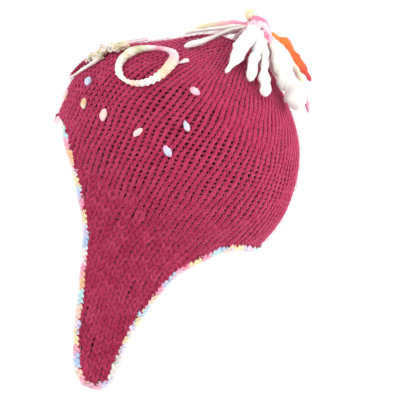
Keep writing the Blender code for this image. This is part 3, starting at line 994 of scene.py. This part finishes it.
def knit_course(strands, form, sizes, course, random, sides):
    """One course of stitches between two angles, cut where it meets the edge."""
    path, borders, kind, least_open, most_open = course
    flap = kind == "flap"
    height, yarn, shift = (
        (sizes.flap_course, sizes.flap_yarn, sizes.flap_row_shift) if flap
        else (sizes.course, sizes.yarn, sizes.row_shift)
    )
    wales = len(borders) - 1
    steps = np.arange(wales * LOOP_STEPS + 1) / LOOP_STEPS
    wale = np.minimum(np.floor(steps).astype(int), wales - 1)
    turn = 2 * pi * (steps - wale) - pi

    def uneven(amount):
        """A random share of the amount, one for each wale."""
        return amount * random.uniform(-1, 1, wales)[wale]

    level = np.clip((form.top - path) / (form.top * (1 - ROWS_LEVEL_UP_TO)), 0, 1)
    middle = (borders[1:] + borders[:-1]) / 2
    seat = path - shift * level * np.cos(middle)
    ends = [form.smooth_point(flap_angle(end, seat, form), seat) for end in (borders[:-1], borders[1:])]
    width = np.linalg.norm(ends[1] - ends[0], axis=1)
    openness = np.clip((width / yarn - TIGHT_WALE) / (OPEN_WALE - TIGHT_WALE), least_open, most_open)
    openness = openness * (1 - FRONT_TIGHTER * np.clip((np.cos(middle) - 0.45) / 0.45, 0, 1))
    width = width[wale]
    inset_share = (TIGHT_INSET + (OPEN_INSET - TIGHT_INSET) * openness)[wale]
    inset_share = inset_share + uneven(0.035)
    splay = (TIGHT_SPLAY + (OPEN_SPLAY - TIGHT_SPLAY) * openness)[wale]
    splay = splay * (1 + uneven(0.15))
    rise = LOOP_RISE * height * (1 + uneven(0.06))
    across = steps - inset_share * np.sin(turn) + splay * np.sin(2 * turn)
    across = across + uneven(0.13) * np.cos(turn / 2) ** 2
    drift, lift_drift = unevenness(borders[wale], path)
    angle = np.interp(across + drift, np.arange(wales + 1), borders)
    before = np.minimum(across + drift, 0.0)
    beyond = np.maximum(across + drift - wales, 0.0)
    angle = angle + before * (borders[1] - borders[0]) + beyond * (borders[-1] - borders[-2])
    place = path - shift * level * np.cos(angle) + rise * np.cos(turn)
    place = place + (lift_drift + uneven(0.09)) * height
    angle = flap_angle(angle, place, form)
    kept = form.inside_edge(angle, place) & (place < form.top - CLOSED_END)
    if not flap:
        kept &= place > FLAP_JOIN - sizes.flap_row_shift * np.cos(angle) - 0.5 * height
    kept &= (np.sin(angle) * sides >= 0) if sides else True
    if not kept.any():
        return
    bar = ((1 - np.cos(turn)) / 2) ** 4 * openness[wale]
    lift = LOOP_DEPTH * sizes.wall * (BAR_RISE * bar - np.cos(2 * turn))
    radius = yarn / 2 * (1 - LEG_SWELL * np.cos(2 * turn) + BAR_SWELL * bar)
    radius = radius * (1 + uneven(0.13))
    least_fill, most_fill = (FLAP_LEAST_FILL, FLAP_FILL) if flap else (0.0, CROWN_FILL)
    radius = np.clip(radius, width * least_fill, width * most_fill)
    tone = np.repeat(random.uniform(-0.5, 0.5, wales), LOOP_STEPS)
    tone = np.append(tone, tone[-1])
    bounds = np.flatnonzero(np.diff(np.concatenate(([0], kept.astype(int), [0]))))
    for start, end in zip(bounds[::2], bounds[1::2]):
        if end - start < 4:
            continue
        part = slice(start, end)
        points, normals = form.place(angle[part], place[part], lift[part])
        # depth: 0 where the yarn lies deepest in the wall and more where it lies higher; the wool material paints
        # shade from it
        depth = 0.5 + 0.5 * lift[part] / (LOOP_DEPTH * sizes.wall)
        # Painted shade in the crease beside the tassel
        depth = depth * (1 - form.crease(angle[part], place[part]))
        # Painted shade on the flaps' stitches, fading out from the flaps' join to just above the opening
        depth = depth * np.interp(place[part], (FLAP_JOIN, CROWN_OPENS), (FLAP_PAINTED_SHADE, 1.0))
        strands.add(points, radius[part], normals, values={"depth": depth, "tone": tone[part]})


class CHULLO_OT_knit(Operator):
    """Knit the crown and both flaps, stitch by stitch"""

    bl_idname = "chullo.knit"
    bl_label = "Knit the body"

    def execute(self, context):
        sizes = context.scene.chullo_sizes
        colours = context.scene.chullo_colours
        form = Form(sizes)
        random = np.random.default_rng(SEED)
        wool = wool_material(colours, "raspberry_wool_yarn", Vector(colours.wool))
        courses = all_courses(form, sizes)
        join = next(number for number, course in enumerate(courses) if course[2] == "crown")
        low, middle = (join + rows for rows in CROWN_BANDS)
        bands = (
            # name, first course, course after the last, side (0 for both)
            ("knit_flap_left", 0, join, 1),
            ("knit_flap_right", 0, join, -1),
            ("knit_crown_low", join, low, 0),
            ("knit_crown_middle", low, middle, 0),
            ("knit_crown_top", middle, len(courses), 0),
        )
        for name, first, last, sides in bands:
            strands = Strands(YARN_SIDES)
            for course in courses[first:last]:
                knit_course(strands, form, sizes, course, random, sides)
            finish_piece(strands.piece(name), wool, "raspberry_wool", "knit_body")
        return {"FINISHED"}


class CHULLO_OT_shade_backing(Operator):
    """Lay the dark backing of painted shade that closes the gaps between the stitches"""

    bl_idname = "chullo.matted"
    bl_label = "Matt the wool"

    def execute(self, context):
        sizes = context.scene.chullo_sizes
        form = Form(sizes)
        columns, rows = BACKING_COLUMNS, BACKING_ROWS
        angles = np.linspace(-pi, pi, columns, endpoint=False)
        low = form.edge_path(angles)
        share = np.linspace(0, 1, rows)
        grid_angle = np.repeat(angles[None], rows, axis=0)
        grid_path = low[None] + (form.top - 0.001 - low[None]) * share[:, None]
        points = [form.place(grid_angle.ravel(), grid_path.ravel(), height)[0] for height in BACKING_HEIGHTS]
        row = np.arange(rows - 1)[:, None] * columns
        column = np.arange(columns)[None]
        after = (column + 1) % columns
        quads = np.stack((row + column, row + after, row + columns + after, row + columns + column), axis=-1)
        quads = quads.reshape(-1, 4)
        count = rows * columns
        rim = np.stack((column[0], count + column[0], count + after[0], after[0]), axis=-1)
        faces = np.concatenate((quads, quads[:, ::-1] + count, rim))
        piece = mesh_piece("painted_shade_backing", np.concatenate(points), faces)
        finish_piece(piece, shade_backing_material(context.scene.chullo_colours), "raspberry_wool", "knit_body")
        return {"FINISHED"}


# Edging

# Length of a stitch and the rings in it, then shares of the edging's radius: a strand's own radius, its swing
# across the edging and its weave through it
EDGING_STITCH = 0.0045
EDGING_STEPS = 10
EDGING_STRAND = 0.46
EDGING_SWING = 0.54
EDGING_WEAVE = 0.32

# Share of the stitches with no raspberry join, and the yarn of the joins and tails
EDGING_BARE = 0.60
JOIN_YARN = 0.0015
TAIL_YARN = 0.0022
JOIN_RINGS = 9
TAIL_RINGS = 12
GUIDE_POINTS = 600

# Yarn tails at the tip of each flap. angle in degrees, drop: share of the flaps' drop, slant: sideways for
# each unit down, reach in metres.
TAILS = (
    # angle, drop, slant, reach
    (94.0, 1.034, 2.00, 0.0042),
    (96.5, 1.030, 0.30, 0.0055),
    (98.5, 1.016, 0.80, 0.0040),
    (87.5, 1.022, 1.00, 0.0022),
)


def edging_colours(shares):
    """Colour of the edging's yarn at shares of its closed length, the right half in its own order."""
    stops = np.array([share for share, _ in EDGING_RUNS])
    colours = np.array([PALETTE[name] for _, name in EDGING_RUNS])
    along = shares * 2
    along = np.where(along > 1, (3.37 - along) % 1.0, along)
    number = np.clip(np.searchsorted(stops, along, side="right") - 1, 0, len(stops) - 2)
    part = (along - stops[number]) / (stops[number + 1] - stops[number])
    part = np.clip((part - 0.6) / 0.4, 0, 1)[:, None]
    return colours[number] * (1 - part) + colours[number + 1] * part


class CHULLO_OT_edging(Operator):
    """Crochet the edging round the rim and both flaps"""

    bl_idname = "chullo.edging"
    bl_label = "Crochet the edging"

    def execute(self, context):
        sizes = context.scene.chullo_sizes
        form = Form(sizes)
        random = np.random.default_rng(SEED + 1)
        material = coloured_material("variegated_yarn_finish", 0.85, 0.3, 0.30)
        radius = sizes.edging / 2
        guide = form.edging_line(GUIDE_POINTS, radius)
        length = np.linalg.norm(np.diff(np.vstack((guide[0], guide[0][:1])), axis=0), axis=1).sum()
        stitches = 3 * round(length / (3 * EDGING_STITCH))
        rings = stitches * EDGING_STEPS
        line, along, away, normal, shares = form.edging_line(rings, radius * 0.98)
        turn = 2 * pi * np.arange(rings) * stitches / (3 * rings)
        strands = Strands(6)
        for strand in range(3):
            phase = turn + 2 * pi * strand / 3
            lumps = np.repeat(random.uniform(-1, 1, stitches), EDGING_STEPS)
            lumps = (np.roll(lumps, 3) + np.roll(lumps, -3) + lumps) / 3
            ply = 1 + 0.06 * np.sin(9 * phase)
            thick = radius * EDGING_STRAND * (1 + 0.22 * lumps) * ply
            across = radius * EDGING_SWING * np.sin(phase) * (1 + 0.2 * np.roll(lumps, 5))
            path = line + away * across[:, None] + normal * (radius * EDGING_WEAVE * np.sin(2 * phase))[:, None]
            tint = edging_colours((shares + 0.0022 * (strand - 1) + 0.0035 * np.roll(lumps, 9)) % 1.0)
            # Painted light: the yarn turns paler towards white where it swings to the outer side of the edging
            painted_outer_light = 0.30 * np.clip(np.sin(phase), 0, 1)[:, None]
            tint = tint * (1 - painted_outer_light) + np.array(PALETTE["white"]) * painted_outer_light
            tint = tint * (1 + 0.07 * lumps)[:, None]
            strands.add(path, thick, normal, closed=True, colours=np.clip(tint, 0, 1))
        finish_piece(strands.piece("edging_yarn"), material, "variegated_yarn", "edging")
        strands = Strands(6)
        for stitch in range(stitches):
            middle = stitch * EDGING_STEPS
            if random.uniform() < EDGING_BARE:
                continue
            reach = np.linspace(-1.35, random.uniform(-0.85, -0.35), JOIN_RINGS) * radius
            lean = EDGING_STITCH * random.uniform(0.1, 0.4) * np.linspace(0, 1, JOIN_RINGS)
            arch = radius * (0.25 + 0.60 * np.sin(pi * np.linspace(0.0, 0.85, JOIN_RINGS)))
            path = line[middle] + away[middle] * reach[:, None] + along[middle] * lean[:, None]
            path = path + normal[middle] * arch[:, None]
            tint = np.broadcast_to(PALETTE["wool"], (JOIN_RINGS, 3)) * random.uniform(0.7, 1.1)
            thick = np.full(JOIN_RINGS, JOIN_YARN / 2) * random.uniform(0.7, 1.2)
            strands.add(path, thick, normal[middle], colours=tint)
        for side in (1.0, -1.0):
            for angle, drop, slant, reach in TAILS:
                start, outward = form.place(side * radians(angle), form.tip * drop, 0.0)
                aside = unit(np.cross(outward[0], (0.0, 0.0, 1.0))) * side
                share = np.linspace(0, 1, TAIL_RINGS)[:, None]
                path = start[0] + (aside * slant - np.array((0.0, 0.0, 1.0))) * reach * share
                path = path + outward[0] * 0.0012 * np.sin(4 * share)
                tint = np.broadcast_to(PALETTE["wool"], (TAIL_RINGS, 3))
                strands.add(path, TAIL_YARN / 2 * (1 - 0.4 * share[:, 0] ** 2), outward[0], colours=tint)
        finish_piece(strands.piece("edging_joins"), material, "raspberry_wool", "edging")
        return {"FINISHED"}


# Flower and knots

FLOWER_CENTRE_WIDTH = 0.024
LOOP_RINGS = 240

# The centre: curled knobs along a ridge, whose angle, path and height follow the shares
KNOBS = 40
KNOB_CURL = 0.0019
KNOB_YARN = 0.0014
KNOB_SHARES = (0.0, 0.25, 0.5, 0.75, 1.0)
KNOB_ANGLES = np.radians((12.0, 17.0, 21.0, 24.0, 26.0))
KNOB_PATHS = (0.0610, 0.0665, 0.0730, 0.0800, 0.0870)
KNOB_HEIGHTS = (0.0025, 0.0045, 0.0062, 0.0068, 0.0055)

# A common sewn knot
DOT_HALF_LENGTH = 0.0044
DOT_HALF_WIDTH = 0.0027


def roving(strands, path, radii, reference, colours, random, closed=False, flutes=4, lumps=0.10, twist=1.5):
    """Soft unspun yarn: one lumpy body with shallow flutes, round at its ends."""
    rings = len(path)
    shares = np.arange(rings) / (rings if closed else rings - 1)
    turn = np.linspace(0, 2 * pi, strands.sides, endpoint=False)
    swell = 1 + lumps * wavy(random, rings, 8) + 0.4 * lumps * wavy(random, rings, 24)
    if closed:
        blend = np.clip((1 - shares) / 0.08, 0, 1)
        swell = swell * blend + swell[0] * (1 - blend)
    phase = 2 * pi * round(twist * flutes) / flutes * shares[:, None]
    ridge = np.abs(np.sin(flutes / 2 * (turn[None] + phase)))
    fine = np.sin(3 * flutes * turn[None] + 4 * phase + 1.3)
    profile = swell[:, None] * (0.86 + 0.17 * ridge + 0.025 * fine)
    for waves in (2, 3, 5):
        slant = 2 * pi * waves * shares[:, None] + random.uniform(0, 2 * pi)
        around = turn[None] * (waves // 2) + random.uniform(0, 6)
        profile = profile * (1 + 0.45 * lumps * np.sin(slant) * np.sin(around))
    if not closed:
        ends = np.sqrt(np.clip(1 - np.clip((shares - 0.95) / 0.05, 0, 1) ** 2, 0.0004, 1))
        ends *= np.sqrt(np.clip(1 - np.clip((0.03 - shares) / 0.03, 0, 1) ** 2, 0.0004, 1))
        profile = profile * ends[:, None]
    shade = 1 + 0.04 * wavy(random, rings, 14)
    strands.add(path, radii, reference, closed=closed, colours=colours * shade[:, None], profile=profile)


def loop_line(form, sizes, row, rings):
    """Middle line, radii and outward directions of one flower loop."""
    _, turn, length, width, start_share, middle, end = row
    turn = radians(turn)
    shares = np.arange(rings) / rings
    thickness = np.array((start_share, middle, end, middle, start_share)) * sizes.loop_thickness
    radii = smooth(np.array((0.0, 0.25, 0.5, 0.75, 1.0)), thickness, shares) / 2
    start = FLOWER_CENTRE_WIDTH / 2 + thickness[0] / 2
    ahead = start + sizes.loop_length * length * (1 - np.cos(2 * pi * shares)) / 2
    across = sizes.loop_width * width * np.sin(2 * pi * shares) / 2
    up = ahead * cos(turn) - across * sin(turn)
    aside = ahead * sin(turn) + across * cos(turn)
    around = form.smooth_point(np.linspace(0, pi, 40), sizes.flower_path)
    girth = np.linalg.norm(np.diff(around, axis=0), axis=1).sum() / pi
    angle = sizes.flower_angle + aside / girth
    points, normals = form.place(angle, sizes.flower_path + up, sizes.wall / 2 + radii)
    return points, radii, normals, shares


class CHULLO_OT_flower(Operator):
    """Lay the flower of thick and thin yarn on the crown"""

    bl_idname = "chullo.flower"
    bl_label = "Lay the flower"

    def execute(self, context):
        sizes = context.scene.chullo_sizes
        form = Form(sizes)
        random = np.random.default_rng(SEED + 2)
        material = coloured_material("petal_yarn_finish", 0.88, 0.3, 0.3)
        for row in LOOPS:
            points, radii, normals, shares = loop_line(form, sizes, row, LOOP_RINGS)
            stops, thicknesses, names = zip(*PETAL_YARN[row[0]])
            radii = radii * np.interp(shares, stops, thicknesses)
            colours = colour_run(names, shares, stops)
            beads = 1 + 0.16 * np.sin(2 * pi * 34 * shares) * np.exp(-((shares - 0.32) / 0.16) ** 2)
            strands = Strands(16)
            roving(strands, points, radii * beads, normals, colours, random, closed=True, lumps=0.16, twist=7)
            finish_piece(strands.piece(f"petal_{row[0]}"), material, "petal_yarn", f"flower_loop_{row[0]}")
        strands = Strands(8)
        tints = ("ivory", "ochre", "peach", "olive", "stone", "ivory", "olive", "peach", "yellow")
        rings = 34
        for knob in range(KNOBS):
            share = knob / (KNOBS - 1)
            angle = np.interp(share, KNOB_SHARES, KNOB_ANGLES) + radians(random.uniform(-5.0, 5.0))
            path = np.interp(share, KNOB_SHARES, KNOB_PATHS) + random.uniform(-0.0035, 0.0035)
            thick = np.interp(share, KNOB_SHARES, KNOB_HEIGHTS)
            middle, normal = form.place(angle, path, sizes.wall / 2 + thick * random.uniform(0.45, 1.0))
            tilt = unit(normal[0] + random.uniform(-0.9, 0.9, 3))
            first = unit(np.cross(tilt, (0.3, 0.2, 1.0)))
            second = np.cross(tilt, first)
            ring = np.linspace(0, 2 * pi * 1.5, rings) + random.uniform(0, 2 * pi)
            curl = KNOB_CURL * np.linspace(1.2, 0.6, rings) * random.uniform(0.8, 1.25)
            line = middle[0] + first * (np.cos(ring) * curl)[:, None] + second * (np.sin(ring) * curl)[:, None]
            line = line + tilt * np.linspace(-0.0012, 0.0014, rings)[:, None]
            names = (tints[knob % len(tints)], tints[(knob * 2 + 1) % len(tints)])
            radii = KNOB_YARN * (1 + 0.25 * wavy(random, rings, 6))
            strands.add(line, radii, tilt, colours=colour_run(names, np.linspace(0, 1, rings)))
        finish_piece(strands.piece("flower_knobs"), material, "petal_yarn", "flower_centre")
        return {"FINISHED"}


class CHULLO_OT_dots(Operator):
    """Sew the small coloured knots on the crown"""

    bl_idname = "chullo.dots"
    bl_label = "Sew the knots"

    def execute(self, context):
        sizes = context.scene.chullo_sizes
        form = Form(sizes)
        random = np.random.default_rng(SEED + 3)
        material = coloured_material("dot_yarn_finish", 0.88, 0.3, 0.25)
        strands = Strands(12)
        rings = 28
        along = np.linspace(-1, 1, rings)
        for angle, path, turn, length, width, taper, names in DOTS:
            seat, normal = form.place(radians(angle), path, sizes.wall / 2 + 0.0012)
            normal = normal[0]
            side = unit(np.cross(normal, (0.0, 0.0, 1.0)))
            up = np.cross(side, normal)
            run = up * cos(radians(turn)) + side * sin(radians(turn))
            bow = side * cos(radians(turn)) - up * sin(radians(turn))
            half = DOT_HALF_LENGTH * length * random.uniform(0.94, 1.06)
            bulge = DOT_HALF_WIDTH * width * random.uniform(0.94, 1.06)
            line = seat[0] - run * (along * half)[:, None] - normal * (0.0016 * along ** 4)[:, None]
            line = line + bow * (0.0003 * np.cos(pi * along / 2))[:, None]
            radii = bulge * np.sqrt(np.clip(1 - along ** 2, 0.01, 1)) * (1 - taper * (1 - along) / 2)
            turns = np.linspace(0, 2 * pi, strands.sides, endpoint=False)
            ridge = np.abs(np.sin(1.5 * turns[None] + 2.6 * along[:, None]))
            profile = (0.92 + 0.12 * ridge) * (1 + 0.05 * wavy(random, rings, 6))[:, None]
            strands.add(line, radii, normal, colours=colour_run(names, (along + 1) / 2), profile=profile)
        finish_piece(strands.piece("sewn_knots"), material, "petal_yarn")
        return {"FINISHED"}


# Tassel

FUZZ_TRIES = 24000
FUZZ_LENGTH = 0.0050
FUZZ_WIDTH = 0.00016
FUZZ_SINK = 0.0008

# Thickness of a lock's tip as a share of its end, and how lumpy thick and thin locks are
LOCK_TIP = 0.5
THICK_LOCK = 0.6
THICK_LUMPS = 0.26
THIN_LUMPS = 0.12
LOCK_FIBRES = 220
LOCK_FIBRE_LENGTH = 0.0032

# Clusters of curls in the tassel's knot. across, back, up: from the knot's middle, and reach, in metres.
CURLS = (
    # across, back, up, reach, curls, colours
    (0.000, 0.000, -0.001, 0.0085, 12, ("pink", "pale_pink", "rose")),
    (0.009, 0.003, -0.004, 0.0065, 8, ("pink", "rose", "white")),
    (0.013, 0.008, -0.009, 0.0045, 6, ("rose", "pink", "pale_pink")),
    (0.014, 0.000, -0.010, 0.0035, 4, ("pink", "white", "pink")),
    (-0.010, 0.003, -0.005, 0.0065, 6, ("pink", "pale_pink", "rose")),
    (0.002, -0.0050, 0.0110, 0.0030, 7, ("yellow", "ivory", "yellow")),
)


class CHULLO_OT_tassel(Operator):
    """Tie the tassel: a curled knot and thick and thin locks"""

    bl_idname = "chullo.tassel"
    bl_label = "Tie the tassel"

    def execute(self, context):
        sizes = context.scene.chullo_sizes
        form = Form(sizes)
        random = np.random.default_rng(SEED + 4)
        material = coloured_material("slub_yarn_finish", 0.9, 0.25, 0.14)
        backward = np.array((0.0, form.axis[2], -form.axis[1]))
        rings = 60
        shares = np.linspace(0, 1, rings)
        loose = []
        for number, row in enumerate(LOCKS):
            fall, reach, middle_lift, tip_lift, root, middle, end, names = row
            strands = Strands(16)
            thickness = np.array((root, middle, end, end * LOCK_TIP)) * sizes.lock_thickness
            radii = smooth(np.array((0.0, 0.5, 0.9, 1.0)), thickness, shares) / 2
            radii = radii * np.clip(0.18 + 2.8 * shares, 0, 1)
            lifts = np.array((1.0, middle_lift, tip_lift)) * sizes.knot_lift
            lift = smooth(np.array((0.0, 0.5, 1.0)), lifts, shares)
            path = form.top - sizes.tassel_reach * reach * shares
            sway = 0.05 * wavy(random, rings, 3) * shares
            height = sizes.wall / 2 + lift + radii + 0.0006
            points, normals = form.place(radians(fall) + sway, path, height, gathered=False)
            points = points + backward * (sizes.knot_lean * (1 - shares) ** 2)[:, None]
            colours = colour_run(names, shares)
            lumps = THICK_LUMPS if middle > THICK_LOCK else THIN_LUMPS
            roving(strands, points, radii, normals, colours, random, flutes=5, lumps=lumps, twist=0.8)
            ring = random.integers(4, rings - 1, LOCK_FIBRES)
            seats = strands.points[-1][ring * strands.sides + random.integers(0, strands.sides, LOCK_FIBRES)]
            lengths = LOCK_FIBRE_LENGTH * random.uniform(0.4, 1.2, LOCK_FIBRES)
            rises = random.uniform(0.1, 0.6, LOCK_FIBRES)
            outward = unit(seats - points[ring])
            loose.append((*fibres(seats, outward, lengths, rises, FUZZ_WIDTH, random), colours[ring]))
            finish_piece(strands.piece(f"lock_{number:02d}"), material, "slub_yarn", "tassel")
        points = np.concatenate([lock[0] for lock in loose])
        lock_points = LOCK_FIBRES * FIBRE_POINTS
        faces = np.concatenate([lock[1] + number * lock_points for number, lock in enumerate(loose)])
        colours = np.repeat(np.concatenate([lock[2] for lock in loose]), FIBRE_POINTS, axis=0)
        finish_piece(mesh_piece("tassel_fuzz", points, faces, colours=colours), material, "slub_yarn", "tassel")
        knot = form.place(0.0, form.top, 0.0)[0][0]
        knot = knot + form.axis * (sizes.wall / 2 + sizes.knot_lift) + backward * sizes.knot_lean
        strands = Strands(10)
        rings = 40
        for across, back, up, spread, curls, names in CURLS:
            for curl in range(curls):
                turn = random.uniform(0, 2 * pi) + np.linspace(0, 2 * pi * 0.8, rings)
                axis = unit(random.normal(size=3))
                first = unit(np.cross(axis, (0.3, 0.2, 1.0)))
                second = np.cross(axis, first)
                reach = spread * (1 + 0.16 * wavy(random, rings, 5))
                path = knot + first * (np.cos(turn) * reach)[:, None] + second * (np.sin(turn) * reach)[:, None]
                path = path + axis * (0.45 * spread * wavy(random, rings, 4))[:, None] + (across, back, up)
                tints = (names[curl % 3], names[(curl + 1) % 3])
                colours = colour_run(tints, np.linspace(0, 1, rings))
                thick = np.full(rings, 0.0012 + 0.14 * spread)
                roving(strands, path, thick, axis, colours, random, flutes=3, lumps=0.16, twist=3)
        finish_piece(strands.piece("tassel_knot"), material, "slub_yarn", "tassel")
        return {"FINISHED"}


class CHULLO_OT_fuzz(Operator):
    """Raise the loose fibres of the wool"""

    bl_idname = "chullo.fuzz"
    bl_label = "Raise the fuzz"

    def execute(self, context):
        sizes = context.scene.chullo_sizes
        colours = context.scene.chullo_colours
        form = Form(sizes)
        random = np.random.default_rng(SEED + 5)
        angles = random.uniform(-pi, pi, FUZZ_TRIES)
        paths = random.uniform(form.tip, form.top, FUZZ_TRIES)
        girth = np.interp(paths, form.knots, form.table[:, 1:].mean(axis=1))
        kept = (paths > form.edge_path(angles)) & (random.uniform(0, 1.1, FUZZ_TRIES) < girth)
        seats, normals = form.place(angles[kept], paths[kept], sizes.wall / 2 - FUZZ_SINK)
        count = len(seats)
        lengths = FUZZ_LENGTH * random.uniform(0.4, 1.2, count)
        rises = random.uniform(0.12, 0.65, count)
        points, faces = fibres(seats, normals, lengths, rises, FUZZ_WIDTH, random)
        # The fuzz is drawn wholly in the lighter fuzz colour, a painted highlight, with none of the knit's painted
        # shade
        bright = {key: np.ones(len(points)) for key in ("depth", "tone", "facing")}
        piece = mesh_piece("wool_fuzz", points, faces, bright)
        finish_piece(piece, wool_material(colours, "raspberry_fuzz", Vector(colours.wool_tip)), "raspberry_wool")
        return {"FINISHED"}


# Soft studio lights. place and size in metres, power in watts.
LIGHTS = (
    # name, place, size, power
    ("key_light", (1.6, -1.2, 1.6), 1.2, 16.0),
    ("fill_light", (0.35, 2.6, 0.6), 1.6, 32.0),
    ("back_light", (-1.5, 0.6, 1.4), 1.4, 8.0),
)
LIGHTS_AIM = (0.0, 0.02, 0.0)
AIR_STRENGTH = 1.05

# The camera looks along -X from the side. The opening's middle is at this pixel of a 400 pixel wide picture.
PHOTO_SCALE = 0.00086
PHOTO_SIDE = 400
PHOTO_ORIGIN = (157, 182)
CAMERA_DISTANCE = 3.0
FLOOR_GAP = 0.03
FLOOR_RADIUS = 14.0


class CHULLO_OT_stage(Operator):
    """Set the floor, the soft lights and the camera"""

    bl_idname = "chullo.stage"
    bl_label = "Set the stage"

    def execute(self, context):
        colours = context.scene.chullo_colours
        scene = context.scene
        scene.view_settings.view_transform = "Standard"
        floor_height = CAD_BOX[0][2] - FLOOR_GAP
        bpy.ops.mesh.primitive_circle_add(
            vertices=96, radius=FLOOR_RADIUS, fill_type="NGON", location=(0, 0, floor_height)
        )
        floor = bpy.context.object
        floor.name = "studio_floor"
        paint = bpy.data.materials.new("studio_floor_paint")
        paint.use_nodes = True
        shader = paint.node_tree.nodes["Principled BSDF"]
        grain = node(paint.node_tree, "ShaderNodeTexNoise", Scale=40.0, Detail=3.0)
        tint = node(paint.node_tree, "ShaderNodeMix", data_type="RGBA")
        tint.inputs[6].default_value = (*colours.floor, 1.0)
        tint.inputs[7].default_value = (*(Vector(colours.floor) * 0.98), 1.0)
        paint.node_tree.links.new(grain.outputs["Fac"], tint.inputs["Factor"])
        paint.node_tree.links.new(tint.outputs[2], shader.inputs["Base Color"])
        shader.inputs["Roughness"].default_value = 0.9
        floor.data.materials.append(paint)

        world = bpy.data.worlds.new("studio_air")
        scene.world = world
        world.use_nodes = True
        air = world.node_tree.nodes["Background"]
        air.inputs["Color"].default_value = (1.0, 1.0, 1.0, 1.0)
        air.inputs["Strength"].default_value = AIR_STRENGTH

        target = Vector(LIGHTS_AIM)
        for name, place, size, power in LIGHTS:
            lamp = bpy.data.lights.new(name, "AREA")
            lamp.shape = "DISK"
            lamp.size = size
            lamp.energy = power
            light = bpy.data.objects.new(name, lamp)
            light.location = place
            light.rotation_mode = "QUATERNION"
            light.rotation_quaternion = (target - Vector(place)).to_track_quat("-Z", "Y")
            scene.collection.objects.link(light)

        middle = PHOTO_SIDE / 2
        camera = bpy.data.cameras.new("photo_camera")
        camera.sensor_width = 36.0
        camera.lens = camera.sensor_width * CAMERA_DISTANCE / (PHOTO_SIDE * PHOTO_SCALE)
        view = bpy.data.objects.new("photo_camera", camera)
        across, up = middle - PHOTO_ORIGIN[0], PHOTO_ORIGIN[1] - middle
        view.location = (CAMERA_DISTANCE, across * PHOTO_SCALE, up * PHOTO_SCALE)
        view.rotation_mode = "QUATERNION"
        view.rotation_quaternion = Vector((-1, 0, 0)).to_track_quat("-Z", "Y")
        scene.collection.objects.link(view)
        scene.camera = view
        return {"FINISHED"}


class CHULLO_PT_panel(Panel):
    """Sizes, colours and steps of the chullo"""

    bl_label = "Chullo"
    bl_idname = "CHULLO_PT_panel"
    bl_space_type = "VIEW_3D"
    bl_region_type = "UI"
    bl_category = "Chullo"

    def draw(self, context):
        layout = self.layout
        for group in (context.scene.chullo_sizes, context.scene.chullo_colours):
            box = layout.box()
            for key in group.__annotations__:
                box.prop(group, key)
        for step in STEPS:
            layout.operator(step.bl_idname)


STEPS = (
    CHULLO_OT_shade_backing,
    CHULLO_OT_knit,
    CHULLO_OT_edging,
    CHULLO_OT_flower,
    CHULLO_OT_dots,
    CHULLO_OT_tassel,
    CHULLO_OT_fuzz,
    CHULLO_OT_stage,
)
CLASSES = (ChulloSizes, ChulloColours, *STEPS, CHULLO_PT_panel)


def register():
    for kind in CLASSES:
        bpy.utils.register_class(kind)
    bpy.types.Scene.chullo_sizes = PointerProperty(type=ChulloSizes)
    bpy.types.Scene.chullo_colours = PointerProperty(type=ChulloColours)


def unregister():
    del bpy.types.Scene.chullo_colours
    del bpy.types.Scene.chullo_sizes
    for kind in reversed(CLASSES):
        bpy.utils.unregister_class(kind)


def main():
    register()
    for step in STEPS:
        group, name = step.bl_idname.split(".")
        getattr(getattr(bpy.ops, group), name)()


if __name__ == "__main__":
    main()
